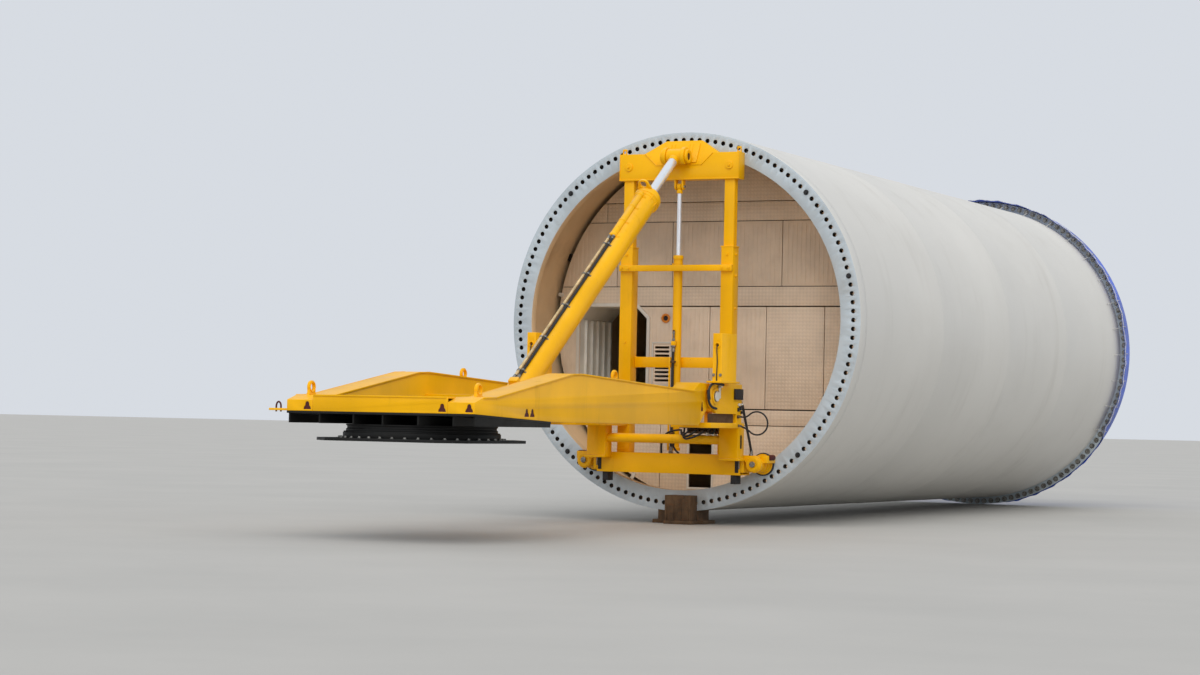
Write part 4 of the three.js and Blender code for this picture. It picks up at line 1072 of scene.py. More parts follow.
class TOWER_OT_cover(bpy.types.Operator):
    """Cuts, drapes and ropes the cover on the far end"""
    bl_idname = "tower.cover"
    bl_label = "Far end cover"

    def execute(self, context):
        around, across, down = 432, 26, 12
        only()
        bpy.ops.mesh.primitive_grid_add(x_subdivisions=around, y_subdivisions=across + down, size=2)
        cover = bpy.context.active_object
        for vertex in cover.data.vertices:
            angle = (vertex.co.x + 1) / 2 * TURN
            row = (vertex.co.y + 1) / 2 * (across + down)
            along = row / across if row <= across else 1 + (row - across) / down
            vertex.co = cover_point(angle, along)
        with editing(cover):
            bpy.ops.mesh.remove_doubles(threshold=0.0008)
            bpy.ops.mesh.normals_make_consistent(inside=False)
        use(cover, "SOLIDIFY", thickness=0.003, offset=0)
        smoothed(60)
        done(cover, "cover_sheet", "tower", "cover", "end_cover")

        hem = []
        for i in range(361):
            angle = math.radians(-122 + 244 * i / 360)
            hem.append(cover_point(angle, 1.93) + outward(angle) * 0.009)
        rope = done(new_strand(hem, 0.009, 2, smooth=False), "hem_rope", "tower", "rope")
        ties = []
        for i in range(25):
            angle = math.radians(-120 + 10 * i)
            out = outward(angle)
            start = cover_point(angle, 1.9) + out * 0.012
            shell = shell_radius(TOWER_LENGTH - 0.7)
            foot = round_axis(shell + 0.006, TOWER_LENGTH - 0.62, angle + 0.012)
            rim = round_axis(COVER_R + 0.004, FAR_FACE - 0.006, angle)
            ties.append(new_strand([start, (start + rim) / 2 + out * 0.004, rim, foot], 0.006, 1))
        done(joined(ties), "cover_ties", "tower", "rope")
        seams = []
        for x in (-2.4, -0.8, 0.8, 2.4):
            line = []
            half = math.sqrt(COVER_R ** 2 - x ** 2)
            for i in range(49):
                z = max(-3.15, -half + 2 * half * i / 48)
                angle = math.atan2(x, z)
                along = min(1, math.hypot(x, z) / cover_edge(angle))
                line.append(cover_point(angle, along) + Y * 0.003)
            seams.append(new_strand(line, 0.005, 1, smooth=False))
        seam = done(joined(seams), "cover_seams", "tower", "cover")
        return {"FINISHED"}


PANEL_ROWS = {
    "upper": [(2.05, DECK_R, ()), (1.725, 2.05, (-2.04, 0.1, 2.04)),
              (0.64, 1.725, (-1.84, -0.82, 0.16, 1.15, 2.13)), (0.314, 0.64, ())],
    "lift": [(-1.386, 0.306, (-0.12, 0.89, 1.91))],
    "lower": [(-1.655, -1.394, (-0.98, 0.3)), (-DECK_R, -1.655, (-0.98,))],
}
LIFT_BAY = {"x0": -2.52, "x1": -1.27, "z0": -1.08, "z1": 0.3, "chamfer": 0.2}
VENT = (-1.14, -0.82, -1.0, -0.31)
PORT = (-0.92, 0.11, 0.07)
HATCH = (-0.45, -0.04, -2.7, -1.96)


def panel_outline(x0, x1, z0, z1, y, radius):
    """Where a rectangle meets the platform's round edge, as corners of an outline."""
    nearest = max(0, z0, -z1)
    widest = math.sqrt(max(0, radius ** 2 - nearest ** 2))
    x0, x1 = max(x0, -widest + 0.001), min(x1, widest - 0.001)
    if x1 - x0 < 0.03:
        return []

    def rim(x):
        return math.sqrt(max(0, radius ** 2 - x ** 2))

    turns = []
    for z in (z0, z1):
        if abs(z) < radius:
            corner = math.sqrt(radius ** 2 - z ** 2)
            turns += [x for x in (-corner, corner) if x0 < x < x1]
    steps = [x0 + (x1 - x0) * i / 40 for i in range(41)]
    xs = sorted({round(x, 5) for x in [*steps, *turns]})
    ends = {round(x0, 5), round(x1, 5), *(round(x, 5) for x in turns)}
    low = [(x, max(z0, -rim(x))) for x in xs if x in ends or -rim(x) > z0]
    high = [(x, min(z1, rim(x))) for x in xs if x in ends or rim(x) < z1]
    points = []
    for x, z in [*low, *reversed(high)]:
        point = at(x, y, z)
        if not points or (point - points[-1]).length > 0.002 and (point - points[0]).length > 0.002:
            points.append(point)
    return points


def bay_outline(grow, y):
    """The lift bay's outline, with its two upper corners cut off."""
    x0, x1, z0, z1 = (LIFT_BAY[key] for key in ("x0", "x1", "z0", "z1"))
    c = LIFT_BAY["chamfer"]
    return [at(x, y, z) for x, z in (
        (x0 - grow, z0 - grow), (x1 + grow, z0 - grow), (x1 + grow, z1 - c + grow * 0.4),
        (x1 - c + grow * 0.4, z1 + grow), (x0 + c - grow * 0.4, z1 + grow), (x0 - grow, z1 - c + grow * 0.4))]


def platform_holes(grow=0.0):
    """Tools that cut the bay, the vent, the port and the hatch."""
    tools = [new_plate(bay_outline(grow, DECK_FRONT - 0.1), Y * 0.2)]
    for x0, x1, z0, z1 in (VENT, HATCH):
        tools.append(new_block((x0 - grow, DECK_FRONT - 0.1, z0 - grow),
                               (x1 + grow, DECK_Y + 0.1, z1 + grow)))
    x, z, r = PORT
    tools.append(new_rod(at(x, DECK_FRONT - 0.1, z), at(x, DECK_Y + 0.1, z), r + grow, 32))
    return joined(tools)


class TOWER_OT_platform(bpy.types.Operator):
    """Lays the floor panels, ribbed or chequered, on the platform's dark frame"""
    bl_idname = "tower.platform"
    bl_label = "Platform"

    def execute(self, context):
        sizes = context.scene.tower_sizes
        gap = sizes.panel_gap / 2
        for level, rows in PANEL_ROWS.items():
            panels, ribbed_areas = [], []
            for z0, z1, joints in rows:
                xs = [-DECK_R, *joints, DECK_R]
                for x0, x1 in zip(xs, xs[1:]):
                    points = panel_outline(x0 + gap, x1 - gap, z0 + gap, z1 - gap, DECK_FRONT, DECK_R)
                    if len(points) < 3:
                        continue
                    ribbed = z0 == 0.64 or level == "lift" and x1 < 1.0
                    panel = new_plate(points, Y * (DECK_Y - DECK_FRONT))
                    panel.data.materials.append(FINISHES["ribbed" if ribbed else "tread"])
                    panels.append(panel)
                    inset = panel_outline(x0 + 0.04, x1 - 0.04, z0 + 0.04, z1 - 0.04, DECK_FRONT - 0.02,
                                          DECK_R - 0.05)
                    if ribbed and len(inset) > 2:
                        ribbed_areas.append(new_plate(inset, Y * 0.03))
            floor = joined(panels)
            if level != "upper":
                combined(floor, platform_holes())
            softened(floor, 0.004, 40)
            if ribbed_areas:
                area = joined(ribbed_areas)
                if level != "upper":
                    combined(area, platform_holes(0.03))
                count = int(2 * DECK_R / sizes.rib_pitch)
                rib = new_block((-DECK_R + 0.02, DECK_FRONT - 0.006, -DECK_R),
                                (-DECK_R + 0.05, DECK_FRONT + 0.002, DECK_R))
                arrayed(rib, count, step=(sizes.rib_pitch, 0, 0))
                combined(rib, area, "INTERSECT")
                rib.data.materials.clear()
                rib.data.materials.append(FINISHES["ribbed"])
                floor = joined([floor, rib])
            done(floor, f"{level}_floor_panels", "tower", None, f"platform_{level}_panels")

        steelwork("dark", 0.004, "platform_frame")
        cleats = []
        for clock in (-150, -115, -80, 45, 80, 115, 150):
            angle = math.radians(clock)
            cleat = new_block((-0.03, DECK_FRONT - 0.012, 2.88), (0.03, DECK_FRONT, 2.985))
            cleat.matrix_world = (Matrix.Translation(at(0, 0, 0)) @ Matrix.Rotation(angle, 4, "Y")
                                  @ Matrix.Translation(-at(0, 0, 0)))
            cleats.append(settled(cleat))
        done(softened(joined(cleats), 0.003), "platform_cleats", "tower", "pale")
        return {"FINISHED"}


def frame_of(outer, inner, y0, y1):
    """A flat frame between two outlines."""
    frame_plate = new_plate([Vector((p.x, y0 + FACE, p.z)) for p in outer], Y * (y1 - y0))
    tool = new_plate([Vector((p.x, y0 + FACE - 0.05, p.z)) for p in inner], Y * (y1 - y0 + 0.1))
    return combined(frame_plate, tool)


def rectangle(x0, x1, z0, z1):
    """An upright rectangle's corners."""
    return [at(x, 0, z) for x, z in ((x0, z0), (x1, z0), (x1, z1), (x0, z1))]


class TOWER_OT_platform_openings(bpy.types.Operator):
    """Frames the lift bay, the vent, the round port and the floor hatch"""
    bl_idname = "tower.platform_openings"
    bl_label = "Platform openings"

    def execute(self, context):
        steelwork("pale", 0.004, "lift_well")
        steelwork("ribbed", 0.003, "vent_grille")
        bay = frame_of(bay_outline(0.06, 0), bay_outline(0.004, 0), DECK_FRONT - 0.02, DECK_FRONT - 0.0005)
        done(softened(bay, 0.004), "lift_bay_frame", "tower", "pale")
        frames = []
        for (x0, x1, z0, z1), wide in ((VENT, 0.022), (HATCH, 0.035)):
            frames.append(frame_of(rectangle(x0 - wide, x1 + wide, z0 - wide, z1 + wide),
                                   rectangle(x0 + 0.002, x1 - 0.002, z0 + 0.002, z1 - 0.002),
                                   DECK_FRONT - 0.012, DECK_FRONT - 0.0005))
        done(softened(joined(frames), 0.003), "vent_and_hatch_frames", "tower", "pale")
        x, z, r = PORT
        centre = at(x, DECK_FRONT, z)
        profile = [(r - 0.026, 0.02), (r - 0.03, -0.008), (r - 0.02, -0.024), (r - 0.004, -0.026),
                   (r + 0.008, -0.016), (r + 0.008, -0.001), (r - 0.0005, -0.0005), (r - 0.0005, 0.02)]
        rim = new_turned(profile, centre, Y, Z, 40)
        smoothed(50)
        done(rim, "port_rim", "tower", "orange", "round_port")
        plug = new_turned([(0, -0.004), (0.016, -0.004), (0.018, 0.004), (r - 0.03, 0.004), (r - 0.03, 0.014),
                           (0, 0.014)], centre, Y, Z, 32, closed=False)
        done(plug, "port_plug", "tower", "black")
        return {"FINISHED"}


def on_slope(x, z, out=0.0):
    """A point on the sloped middle of the top beam, or out from it."""
    lean = Vector((0, 0.21, 0.41)).normalized()
    point = at(x, -0.24 + 0.21 * (z - 2.5) / 0.41, z)
    return point + Vector((0, -lean.z, lean.y)) * out


class TOWER_OT_mast(bpy.types.Operator):
    """Dresses the upright frame: top beam, posts in their sleeves, bars and the lower beam"""
    bl_idname = "tower.mast"
    bl_label = "Mast"

    def execute(self, context):
        edge = context.scene.tower_sizes.steel_edge
        steelwork("yellow", edge, "rod_anchor", "mast_post_right", "mast_post_left", "mast_sleeve_right",
                  "mast_sleeve_left", "keeper_bar", "lower_crossbar", "lower_crossbeam")
        beam = copied("top_crossbeam")
        holes = [new_rod(at(side * 1.005, -0.2, 2.735), at(side * 1.005, -0.05, 2.735), 0.024, 24)
                 for side in (-1, 1)]
        combined(beam, joined(holes))
        done(softened(beam, edge), "top_beam_steelwork", "tower", "yellow", "top_crossbeam")

        front = -0.24
        lips = [new_block((-1.045, front - 0.012, 2.262), (1.045, -0.002, 2.282))]
        for side in (-1, 1):
            lips.append(side_block(side, 1.035, 1.046, front - 0.006, -0.002, 2.282, 2.694))
        done(softened(joined(lips), 0.004), "top_beam_flange_plates", "tower", "yellow")

        bosses, places = [], []
        boss = [(0, -0.02), (0.058, -0.02), (0.064, -0.014), (0.064, 0.002), (0, 0.002)]
        for x in (-0.88, 0.88):
            centre = at(x, front, 2.48)
            bosses.append(new_turned(boss, centre, Y, Z, 40, closed=False))
            places.append((centre - Y * 0.02, -Y))
        done(joined(bosses), "top_beam_bosses", "tower", "yellow")
        hub = []
        for side in (-1, 1):
            face = at(side * 0.19, ROD_PIN.y, ROD_PIN.z)
            hub.append(new_turned([(0.056, 0), (0.105, 0), (0.115, 0.008), (0.115, 0.036), (0.105, 0.044),
                                   (0.066, 0.044), (0.056, 0.034)], face, X * side, Z, 48))
        done(softened(joined(hub), 0.002), "top_pin_hubs", "tower", "yellow")
        pin = new_rod(at(-0.225, ROD_PIN.y, ROD_PIN.z), at(0.225, ROD_PIN.y, ROD_PIN.z), 0.0548, 48)
        done(softened(pin, 0.006), "top_pin", "tower", "pin", "rod_pin")

        strips, pads = [], []
        for side in (-1, 1):
            for y in (-0.105, -0.19):
                strips.append(side_block(side, 0.9645, 0.972, y - 0.012, y + 0.012, 1.2, 2.265))
            collar = side_block(side, 0.763, 0.997, -0.266, -0.0305, 1.172, 1.194)
            tool = side_block(side, 0.79, 0.97, -0.222, -0.058, 1.1, 1.3)
            pads.append(combined(collar, tool))
            for z in (1.06, 0.72, 0.2, -0.35):
                places.append((at(side * 0.9855, -0.15, z), X * side))
            for z in (1.06, -0.35):
                places.append((at(side * 0.88, -0.2605, z), -Y))
            places += [(at(side * x, -0.3205, 0.84), -Y) for x in (0.82, 0.94)]
        done(softened(joined(strips), 0.002), "post_wear_strips", "tower", "yellow")
        done(softened(joined(pads), 0.005), "sleeve_collars", "tower", "yellow")
        done(new_bolts(places, 0.03), "mast_bolts", "tower", "yellow")

        beads = []
        fold = [(-0.594, 2.69), (-0.396, 2.5), (0.396, 2.5), (0.594, 2.69)]
        beads.append([at(x, front - 0.002, z) for x, z in fold])
        for side in (-1, 1):
            beads.append([at(side * 0.795, -0.217, 2.26), at(side * 0.965, -0.217, 2.26),
                          at(side * 0.967, -0.065, 2.26)])
            for z in (-0.752, -0.578):
                beads.append([at(side * 0.773, -0.102, z), at(side * 0.773, -0.03, z)])
            beads.append([at(side * 0.775, -0.262, -2.077), at(side * 0.985, -0.262, -2.077),
                          at(side * 0.987, -0.03, -2.077)])
            for x in (0.13, 0.19):
                beads.append([on_slope(side * x, z, 0.022) for z in (2.56, 2.84)])
        welds = joined([new_strand(line, 0.008, 1, smooth=False) for line in beads])
        done(welds, "mast_welds", "tower", "yellow")
        return {"FINISHED"}


class TOWER_OT_lift_cylinder(bpy.types.Operator):
    """Turns the lift cylinder's barrel, gland, rod and clevis"""
    bl_idname = "tower.lift_cylinder"
    bl_label = "Lift cylinder"

    def execute(self, context):
        y = -0.18
        foot = at(0, y, 0)
        barrel = new_turned([
            (0, -2.0795), (0.088, -2.0795), (0.088, -2.03), (0.074, -2.02), (0.074, 0.86), (0.078, 0.865),
            (0.078, 0.93), (0.074, 0.935), (0.074, 0.985), (0.083, 0.99), (0.083, 1.035), (0.076, 1.05),
            (0.045, 1.05), (0.038, 1.04), (0.038, 0.98), (0, 0.98),
        ], foot, Z, -Y, 64, closed=False)
        smoothed(35)
        cap = new_block((-0.06, -0.26, 0.79), (0.06, -0.24, 0.89))
        saddle = new_block((-0.045, -0.262, -0.72), (0.045, -0.1, -0.6))
        port = new_block((-0.036, -0.33, -0.4), (0.036, -0.24, -0.33))
        upper = new_block((-0.1, -0.205, 0.875), (-0.06, -0.155, 0.925))
        blocks = softened(joined([cap, saddle, port, upper]), 0.006)
        done(joined([barrel, blocks]), "lift_barrel", "tower", "yellow", "lift_cylinder_barrel")
        rod = new_turned([(0, 0.99), (0.037, 0.99), (0.037, 2.055), (0, 2.055)],
                         foot, Z, -Y, 48, closed=False)
        smoothed(35)
        done(rod, "lift_rod", "tower", "chrome", "lift_cylinder_rod")
        neck = new_turned([(0, 2.045), (0.047, 2.045), (0.05, 2.052), (0.05, 2.085), (0.03, 2.12), (0, 2.12)],
                          foot, Z, -Y, 32, closed=False)
        eye = new_rod(at(-0.034, y, 2.155), at(0.034, y, 2.155), 0.052, 32)
        ears = []
        for side in (-1, 1):
            outline = [at(side * 0.05, y - 0.055, 2.2699), at(side * 0.05, y + 0.055, 2.2699)]
            outline += [at(side * 0.05, y + 0.055 * math.cos(a), 2.155 - 0.055 * math.sin(a))
                        for a in half_turn(8)]
            ears.append(new_plate(outline, X * side * 0.026))
        pin = new_rod(at(-0.092, y, 2.155), at(0.092, y, 2.155), 0.022, 24)
        done(softened(joined([neck, eye, *ears]), 0.004), "lift_rod_clevis", "tower", "yellow")
        done(softened(pin, 0.004), "lift_rod_pin", "tower", "zinc")
        guide = new_block((-0.086, -0.292, -2.079), (-0.058, -0.268, -0.585))
        stays = [new_block((-0.08, -0.275, z - 0.02), (-0.05, -0.2, z + 0.02))
                 for z in (-0.62, -1.1, -1.58, -2.03)]
        done(softened(joined([guide, *stays]), 0.004), "hose_guide_strip", "tower", "yellow")
        fittings = [
            new_rod(at(-0.01, -0.28, -0.33), at(-0.01, -0.28, -0.29), 0.026, 6),
            new_rod(at(-0.01, -0.28, -0.29), at(-0.01, -0.28, -0.19), 0.016, 20),
            new_rod(at(-0.01, -0.28, -0.21), at(-0.01, -0.28, -0.175), 0.022, 6),
            new_rod(at(-0.1, -0.18, 0.9), at(-0.13, -0.18, 0.9), 0.017, 6),
        ]
        done(softened(joined(fittings), 0.002), "lift_barrel_fittings", "tower", "zinc")
        cap_red = new_rod(at(-0.01, -0.28, -0.175), at(-0.01, -0.28, -0.15), 0.018, 20)
        done(softened(cap_red, 0.004), "test_point_cap", "tower", "red")
        return {"FINISHED"}


def rounded_slot(y, z, half_wide, half_high, steps=8):
    """The outline of an upright slot with round ends, as pairs of Y and Z."""
    points = []
    for way in (1, -1):
        for angle in half_turn(steps):
            points.append((y + way * half_wide * math.cos(angle),
                           z + way * (half_high - half_wide) + way * half_wide * math.sin(angle)))
    return points


class TOWER_OT_clamps(bpy.types.Operator):
    """Dresses the forks and jaws at the lower beam's ends"""
    bl_idname = "tower.clamps"
    bl_label = "Clamps"

    def execute(self, context):
        edge = context.scene.tower_sizes.steel_edge
        steelwork("yellow", edge, "clamp_fork_right", "clamp_fork_left", "clamp_jaw_right", "clamp_jaw_left")
        x, z = 1.47, -2.26
        face = at(x, -0.4452, z)
        discs = [new_turned([(0.052, 0), (r, 0), (r, depth - 0.006), (r - 0.006, depth), (0.052, depth)],
                            face, -Y, Z, 56) for r, depth in ((0.122, 0.014), (0.108, 0.026))]
        hidden = [new_turned([(0.1205, 0), (r, 0), (r, depth), (0.1205, depth)], at(x, y, z), -Y, Z, 56)
                  for y, r, depth in ((-0.315, 0.128, 0.022), (-0.255, 0.132, 0.022), (-0.195, 0.128, 0.022))]
        cap = softened(joined([*discs, *hidden]), 0.003)
        nut = new_turned([(0, 0.03), (0.042, 0.03), (0.046, 0.036), (0.046, 0.052), (0.042, 0.06), (0, 0.06)],
                         face, -Y, Z, 40, closed=False)
        # A black ring round the back of each jaw, against the flange face, darker than the jaw.
        rim = new_turned([(0.1653, 0.0), (0.178, 0.0), (0.182, 0.006), (0.182, 0.04), (0.1653, 0.046)],
                         at(x, -0.001, z), -Y, Z, 64)
        # The thin black plate on each fork's face is a painted shade for a slot's dark inside. The block
        # below it is a black block of the clamp.
        slot = joined([new_block((1.165, -0.456, -2.4), (1.222, -0.4502, -2.15)),
                       new_block((1.07, -0.4, -2.58), (1.165, -0.2, -2.4405))])
        knob = new_rod(at(1.65, -0.265, -2.152), at(1.65, -0.06, -2.152), 0.046, 32)
        guard = new_block((1.228, -0.466, -2.34), (1.246, -0.4502, -2.17))
        for name, finish, right in (
                ("clamp_pin_rings", "yellow", cap), ("clamp_pin_nuts", "zinc", softened(nut, 0.004)),
                ("jaw_back_black_rings", "black", rim), ("clamp_cylinders_and_slot_shades", "black", softened(slot, 0.006)),
                ("jaw_stops", "red", softened(knob, 0.008)),
                ("clamp_guards", "zinc", softened(guard, 0.003))):
            done(joined([right, mirrored(right)]), name, "tower", finish)
        places = []
        for side in (-1, 1):
            for dz in (-0.1, 0.1):
                places.append((at(side * 1.2505, -0.36, -2.28 + dz), X * side))
                places.append((at(side * 1.2505, -0.14, -2.28 + dz), X * side))
        done(new_bolts(places, 0.03), "lower_beam_bolts", "tower", "yellow")
        return {"FINISHED"}


# Small fittings on a bracket: the distances from the middle plane, then Y and then Z, from and to
DARK_FITTINGS = [
    (BRACKET_X, 1.5, -1.06, -0.99, -1.42, -1.35), (BRACKET_X, 1.492, -1.13, -1.075, -1.44, -1.38),
    (BRACKET_X, 1.5, -1.0, -0.955, -1.475, -1.43),
]
PALE_FITTINGS = [
    (BRACKET_X, 1.51, -1.04, -0.985, -1.34, -1.315), (1.39, 1.408, -1.45, -1.28, -1.585, -1.535),
    (1.488, 1.506, -1.93, -1.87, -1.25, -1.06), (1.488, 1.506, -1.93, -1.8, -1.085, -1.055),
]
# The route of the painted crescent shade round a hinge bracket's front edge, as X, Y and Z.
BRACKET_ARC = [
    (1.49, -1.74, -1.04), (1.49, -1.95, -1.025), (1.492, -2.13, -1.028), (1.494, -2.26, -1.075),
    (1.494, -2.325, -1.16), (1.494, -2.325, -1.25), (1.494, -2.27, -1.33), (1.492, -2.16, -1.385),
    (1.49, -2.0, -1.405),
]
SHORT_HOSES = [
    [(0.5, -0.72, -1.75), (0.5, -0.775, -1.756), (0.48, -0.805, -1.785), (0.43, -0.79, -1.81),
     (0.38, -0.73, -1.8), (0.34, -0.63, -1.79), (0.29, -0.52, -1.79), (0.2, -0.45, -1.85),
     (0.11, -0.435, -1.93), (0.09, -0.43, -2.0), (0.12, -0.425, -2.06), (0.18, -0.42, -2.12)],
    [(0.62, -0.73, -1.75), (0.62, -0.785, -1.76), (0.58, -0.82, -1.795), (0.52, -0.825, -1.83),
     (0.45, -0.8, -1.845), (0.38, -0.76, -1.81), (0.34, -0.7, -1.76), (0.28, -0.58, -1.745),
     (0.16, -0.48, -1.75), (0.0, -0.44, -1.79), (-0.1, -0.43, -1.88), (-0.12, -0.425, -2.0),
     (-0.12, -0.42, -2.12)],
    [(0.74, -0.72, -1.75), (0.76, -0.78, -1.76), (0.72, -0.825, -1.8), (0.63, -0.84, -1.845),
     (0.54, -0.83, -1.87), (0.46, -0.8, -1.88), (0.41, -0.77, -1.85), (0.4, -0.74, -1.8),
     (0.4, -0.715, -1.75), (0.4, -0.71, -1.712)],
    [(0.85, -0.72, -1.75), (0.855, -0.765, -1.76), (0.88, -0.79, -1.785), (0.92, -0.79, -1.785),
     (0.94, -0.785, -1.755), (0.94, -0.78, -1.712)],
]


class TOWER_OT_hinges(bpy.types.Operator):
    """Dresses the hinge brackets, their pins, legs, side shift tube and the hydraulic fittings on them"""
    bl_idname = "tower.hinges"
    bl_label = "Hinge brackets"

    def execute(self, context):
        edge = context.scene.tower_sizes.steel_edge
        steelwork("yellow", edge, "hinge_bracket_right", "hinge_bracket_left", "bracket_leg_right",
                  "bracket_leg_left")
        axis_y, axis_z = HINGE.y, HINGE.z
        pins, plates, places = [], [], []
        collar = [(0.0801, 0), (0.125, 0), (0.125, 0.012), (0.118, 0.016), (0.0801, 0.016)]
        for side in (-1, 1):
            pins.append(new_rod(at(side * 0.905, axis_y, axis_z), at(side * 1.495, axis_y, axis_z),
                                0.0797, 48))
            plates.append(new_turned(collar, at(side * 1.4702, axis_y, axis_z), X * side, Z, 48))
            plates.append(side_block(side, BRACKET_X, 1.488, axis_y - 0.02, axis_y + 0.16,
                                     axis_z + 0.085, axis_z + 0.125))
            places += [(at(side * 1.488, axis_y + 0.1, axis_z + 0.105), X * side),
                       (at(side * 1.488, axis_y + 0.14, axis_z + 0.105), X * side)]
            for angle in (0.4, 2.5, 4.6):
                place = at(side * 1.495, axis_y + 0.045 * math.cos(angle), axis_z + 0.045 * math.sin(angle))
                places.append((place, X * side))
        for name, pin in zip(("hinge_pin_left", "hinge_pin_right"), pins):
            done(softened(pin, 0.008), f"{name}_bar", "tower", "zinc", name)
        done(softened(joined(plates), 0.003), "hinge_pin_plates", "tower", "yellow")
        done(new_bolts(places, 0.02), "hinge_pin_bolts", "tower", "zinc")

        tube = new_turned([(0, -0.9845), (0.073, -0.9845), (0.073, 0.9845), (0, 0.9845)],
                          at(0, -0.575, -1.888), X, Z, 64, closed=False)
        smoothed(35)
        done(tube, "side_shift_bar", "tower", "yellow", "side_shift_tube")

        box = softened(new_block((BRACKET_X, -1.281, -1.259), (1.505, -0.975, -1.093)), 0.006)
        done(box, "junction_box", "tower", "black")
        manifold = [
            new_block((BRACKET_X, -1.145, -1.545), (1.488, -1.06, -1.495)),
            new_block((BRACKET_X, -1.1, -1.676), (1.486, -1.06, -1.64)),
            new_block((0.36, -0.82, -1.712), (0.983, -0.48, -1.7005)),
            new_block((0.42, -0.66, -1.795), (0.92, -0.5, -1.711)),
            *(new_rod(at(x, -0.66, -1.75), at(x, end, -1.75), 0.03, 20)
              for x, end in ((0.5, -0.72), (0.62, -0.73), (0.74, -0.72), (0.85, -0.72))),
        ]
        done(softened(joined(manifold), 0.004), "valve_blocks", "tower", "pin")
        lines = [new_strand([at(*p) for p in route], 0.016, 3) for route in SHORT_HOSES]
        for side in (1, -1):
            # The two black strands on each bracket below are not hoses: they are a painted shade for the dark
            # crescent gap at the cheek's rounded front edge, and the short thick one sits where the gap is
            # widest.
            lines.append(new_strand([at(side * x, y, z) for x, y, z in BRACKET_ARC], 0.019, 3))
            lines.append(new_strand([at(side * 1.492, -2.318, -1.13), at(side * 1.492, -2.312, -1.19),
                                     at(side * 1.492, -2.285, -1.27)], 0.026, 3))
        done(joined(lines), "bracket_hoses_and_crescent_shades", "tower", "black")
        pale = [new_rod(at(x, -0.6, -1.8), at(x, -0.705, -1.8), 0.024, 16) for x in (0.78, 0.885)]
        dark, brown = [], []
        for side in (1, -1):
            # A thin black plate on each leg, where its slot is, is a painted shade for the slot's dark
            # inside.
            slot = new_plate([at(side * 1.3105, y, z) for y, z in
                              rounded_slot(-0.58, -1.912, 0.03, 0.109)], X * side * 0.004)
            dark.append(slot)
            for block in DARK_FITTINGS:
                dark.append(side_block(side, *block))
            for block in PALE_FITTINGS:
                pale.append(side_block(side, *block))
            pale += [
                new_rod(at(side * 1.47, -1.09, -1.335), at(side * 1.5, -1.09, -1.335), 0.024, 24),
                new_turned([(0, 0), (0.078, 0), (0.078, 0.012), (0.07, 0.018), (0, 0.018)],
                           at(side * 1.4955, axis_y, axis_z), X * side, Z, 40, closed=False),
            ]
            # A thin rusty plate fills each bracket's opening. It is rusty steel, and also a painted shade for
            # the dark inside of the opening.
            brown.append(side_block(side, 1.404, 1.4095, -2.13, -1.155, -1.6195, -1.481))
        # The dark fittings, together with the painted slot shades on the legs.
        done(softened(joined(dark), 0.004), "bracket_fittings_dark_and_slot_shades", "tower", "black")
        done(softened(joined(pale), 0.004), "bracket_fittings_pale", "tower", "pale")
        done(joined(brown), "bracket_back_plates", "tower", "rust")
        return {"FINISHED"}


class TOWER_OT_uprights(bpy.types.Operator):
    """Dresses the uprights on the brackets, with their short cables"""
    bl_idname = "tower.uprights"
    bl_label = "Uprights"

    def execute(self, context):
        steelwork("yellow", context.scene.tower_sizes.steel_edge, "upright_right", "upright_left")
        rings, cables, places = [], [], []
        for side in (-1, 1):
            x = side * 1.575
            rings.append(new_turned([(0.028, 0), (0.046, 0), (0.05, 0.006), (0.046, 0.014), (0.028, 0.014)],
                                    at(x, -2.2002, -0.45), -Y, Z, 32))
            cables.append(new_strand([at(x, -2.16, -0.45), at(x, -2.205, -0.455), at(x, -2.222, -0.5),
                                      at(x + side * 0.012, -2.226, -0.7), at(x + side * 0.004, -2.224, -0.9),
                                      at(x, -2.212, -0.986)], 0.009, 2))
            for dx in (-0.055, 0.055):
                places.append((at(x + dx, -2.2005, -0.9), -Y))
            for y in (-2.19, -1.56):
                places.append((at(side * 1.44, y + 0.03, -0.9895), Z))
        done(softened(joined(rings), 0.002), "upright_eye_rings", "tower", "yellow")
        done(joined(cables), "upright_cables", "tower", "black")
        done(new_bolts(places, 0.026), "upright_bolts", "tower", "zinc")
        return {"FINISHED"}


SIDE_SLOTS = [(1.39, -8.04, -1.54, X), (1.39, -7.88, -1.54, X), (1.39, -2.3, -1.378, X)]
SLOTS = {"right": [*SIDE_SLOTS, (1.31, -9.48, -1.5, -Y)], "left": [*SIDE_SLOTS, (1.08, -9.48, -1.5, -Y)]}
EYE_RING = [(0.057, 0), (0.068, 0), (0.071, 0.004), (0.068, 0.008), (0.057, 0.008)]
EYES = {"right": [(-9.03, -1.258), (-5.0, -0.985)], "left": [(-9.2, -1.258), (-5.08, -0.985)]}


def bell(centre, way, tall, wide):
    """A bell-shaped outline, narrow and round above and wide below, that looks along a way."""
    across = way.cross(Z).normalized()
    shape = [(-0.5, -0.5), (0.5, -0.5), (0.42, -0.2), (0.27, 0.0), (0.24, 0.25), (0.17, 0.42), (0.0, 0.5),
             (-0.17, 0.42), (-0.24, 0.25), (-0.27, 0.0), (-0.42, -0.2)]
    return [centre + across * u * wide + Z * v * tall for u, v in shape]


def slot_tool(centre, way, tall, wide):
    """The tool that cuts a slot, and the red plate that stands behind it."""
    tool = new_plate(bell(centre + way * 0.03, way, tall, wide), -way * 0.05)
    back = new_plate(bell(centre - way * 0.009, way, tall * 1.1, wide * 1.1), -way * 0.006)
    return tool, back


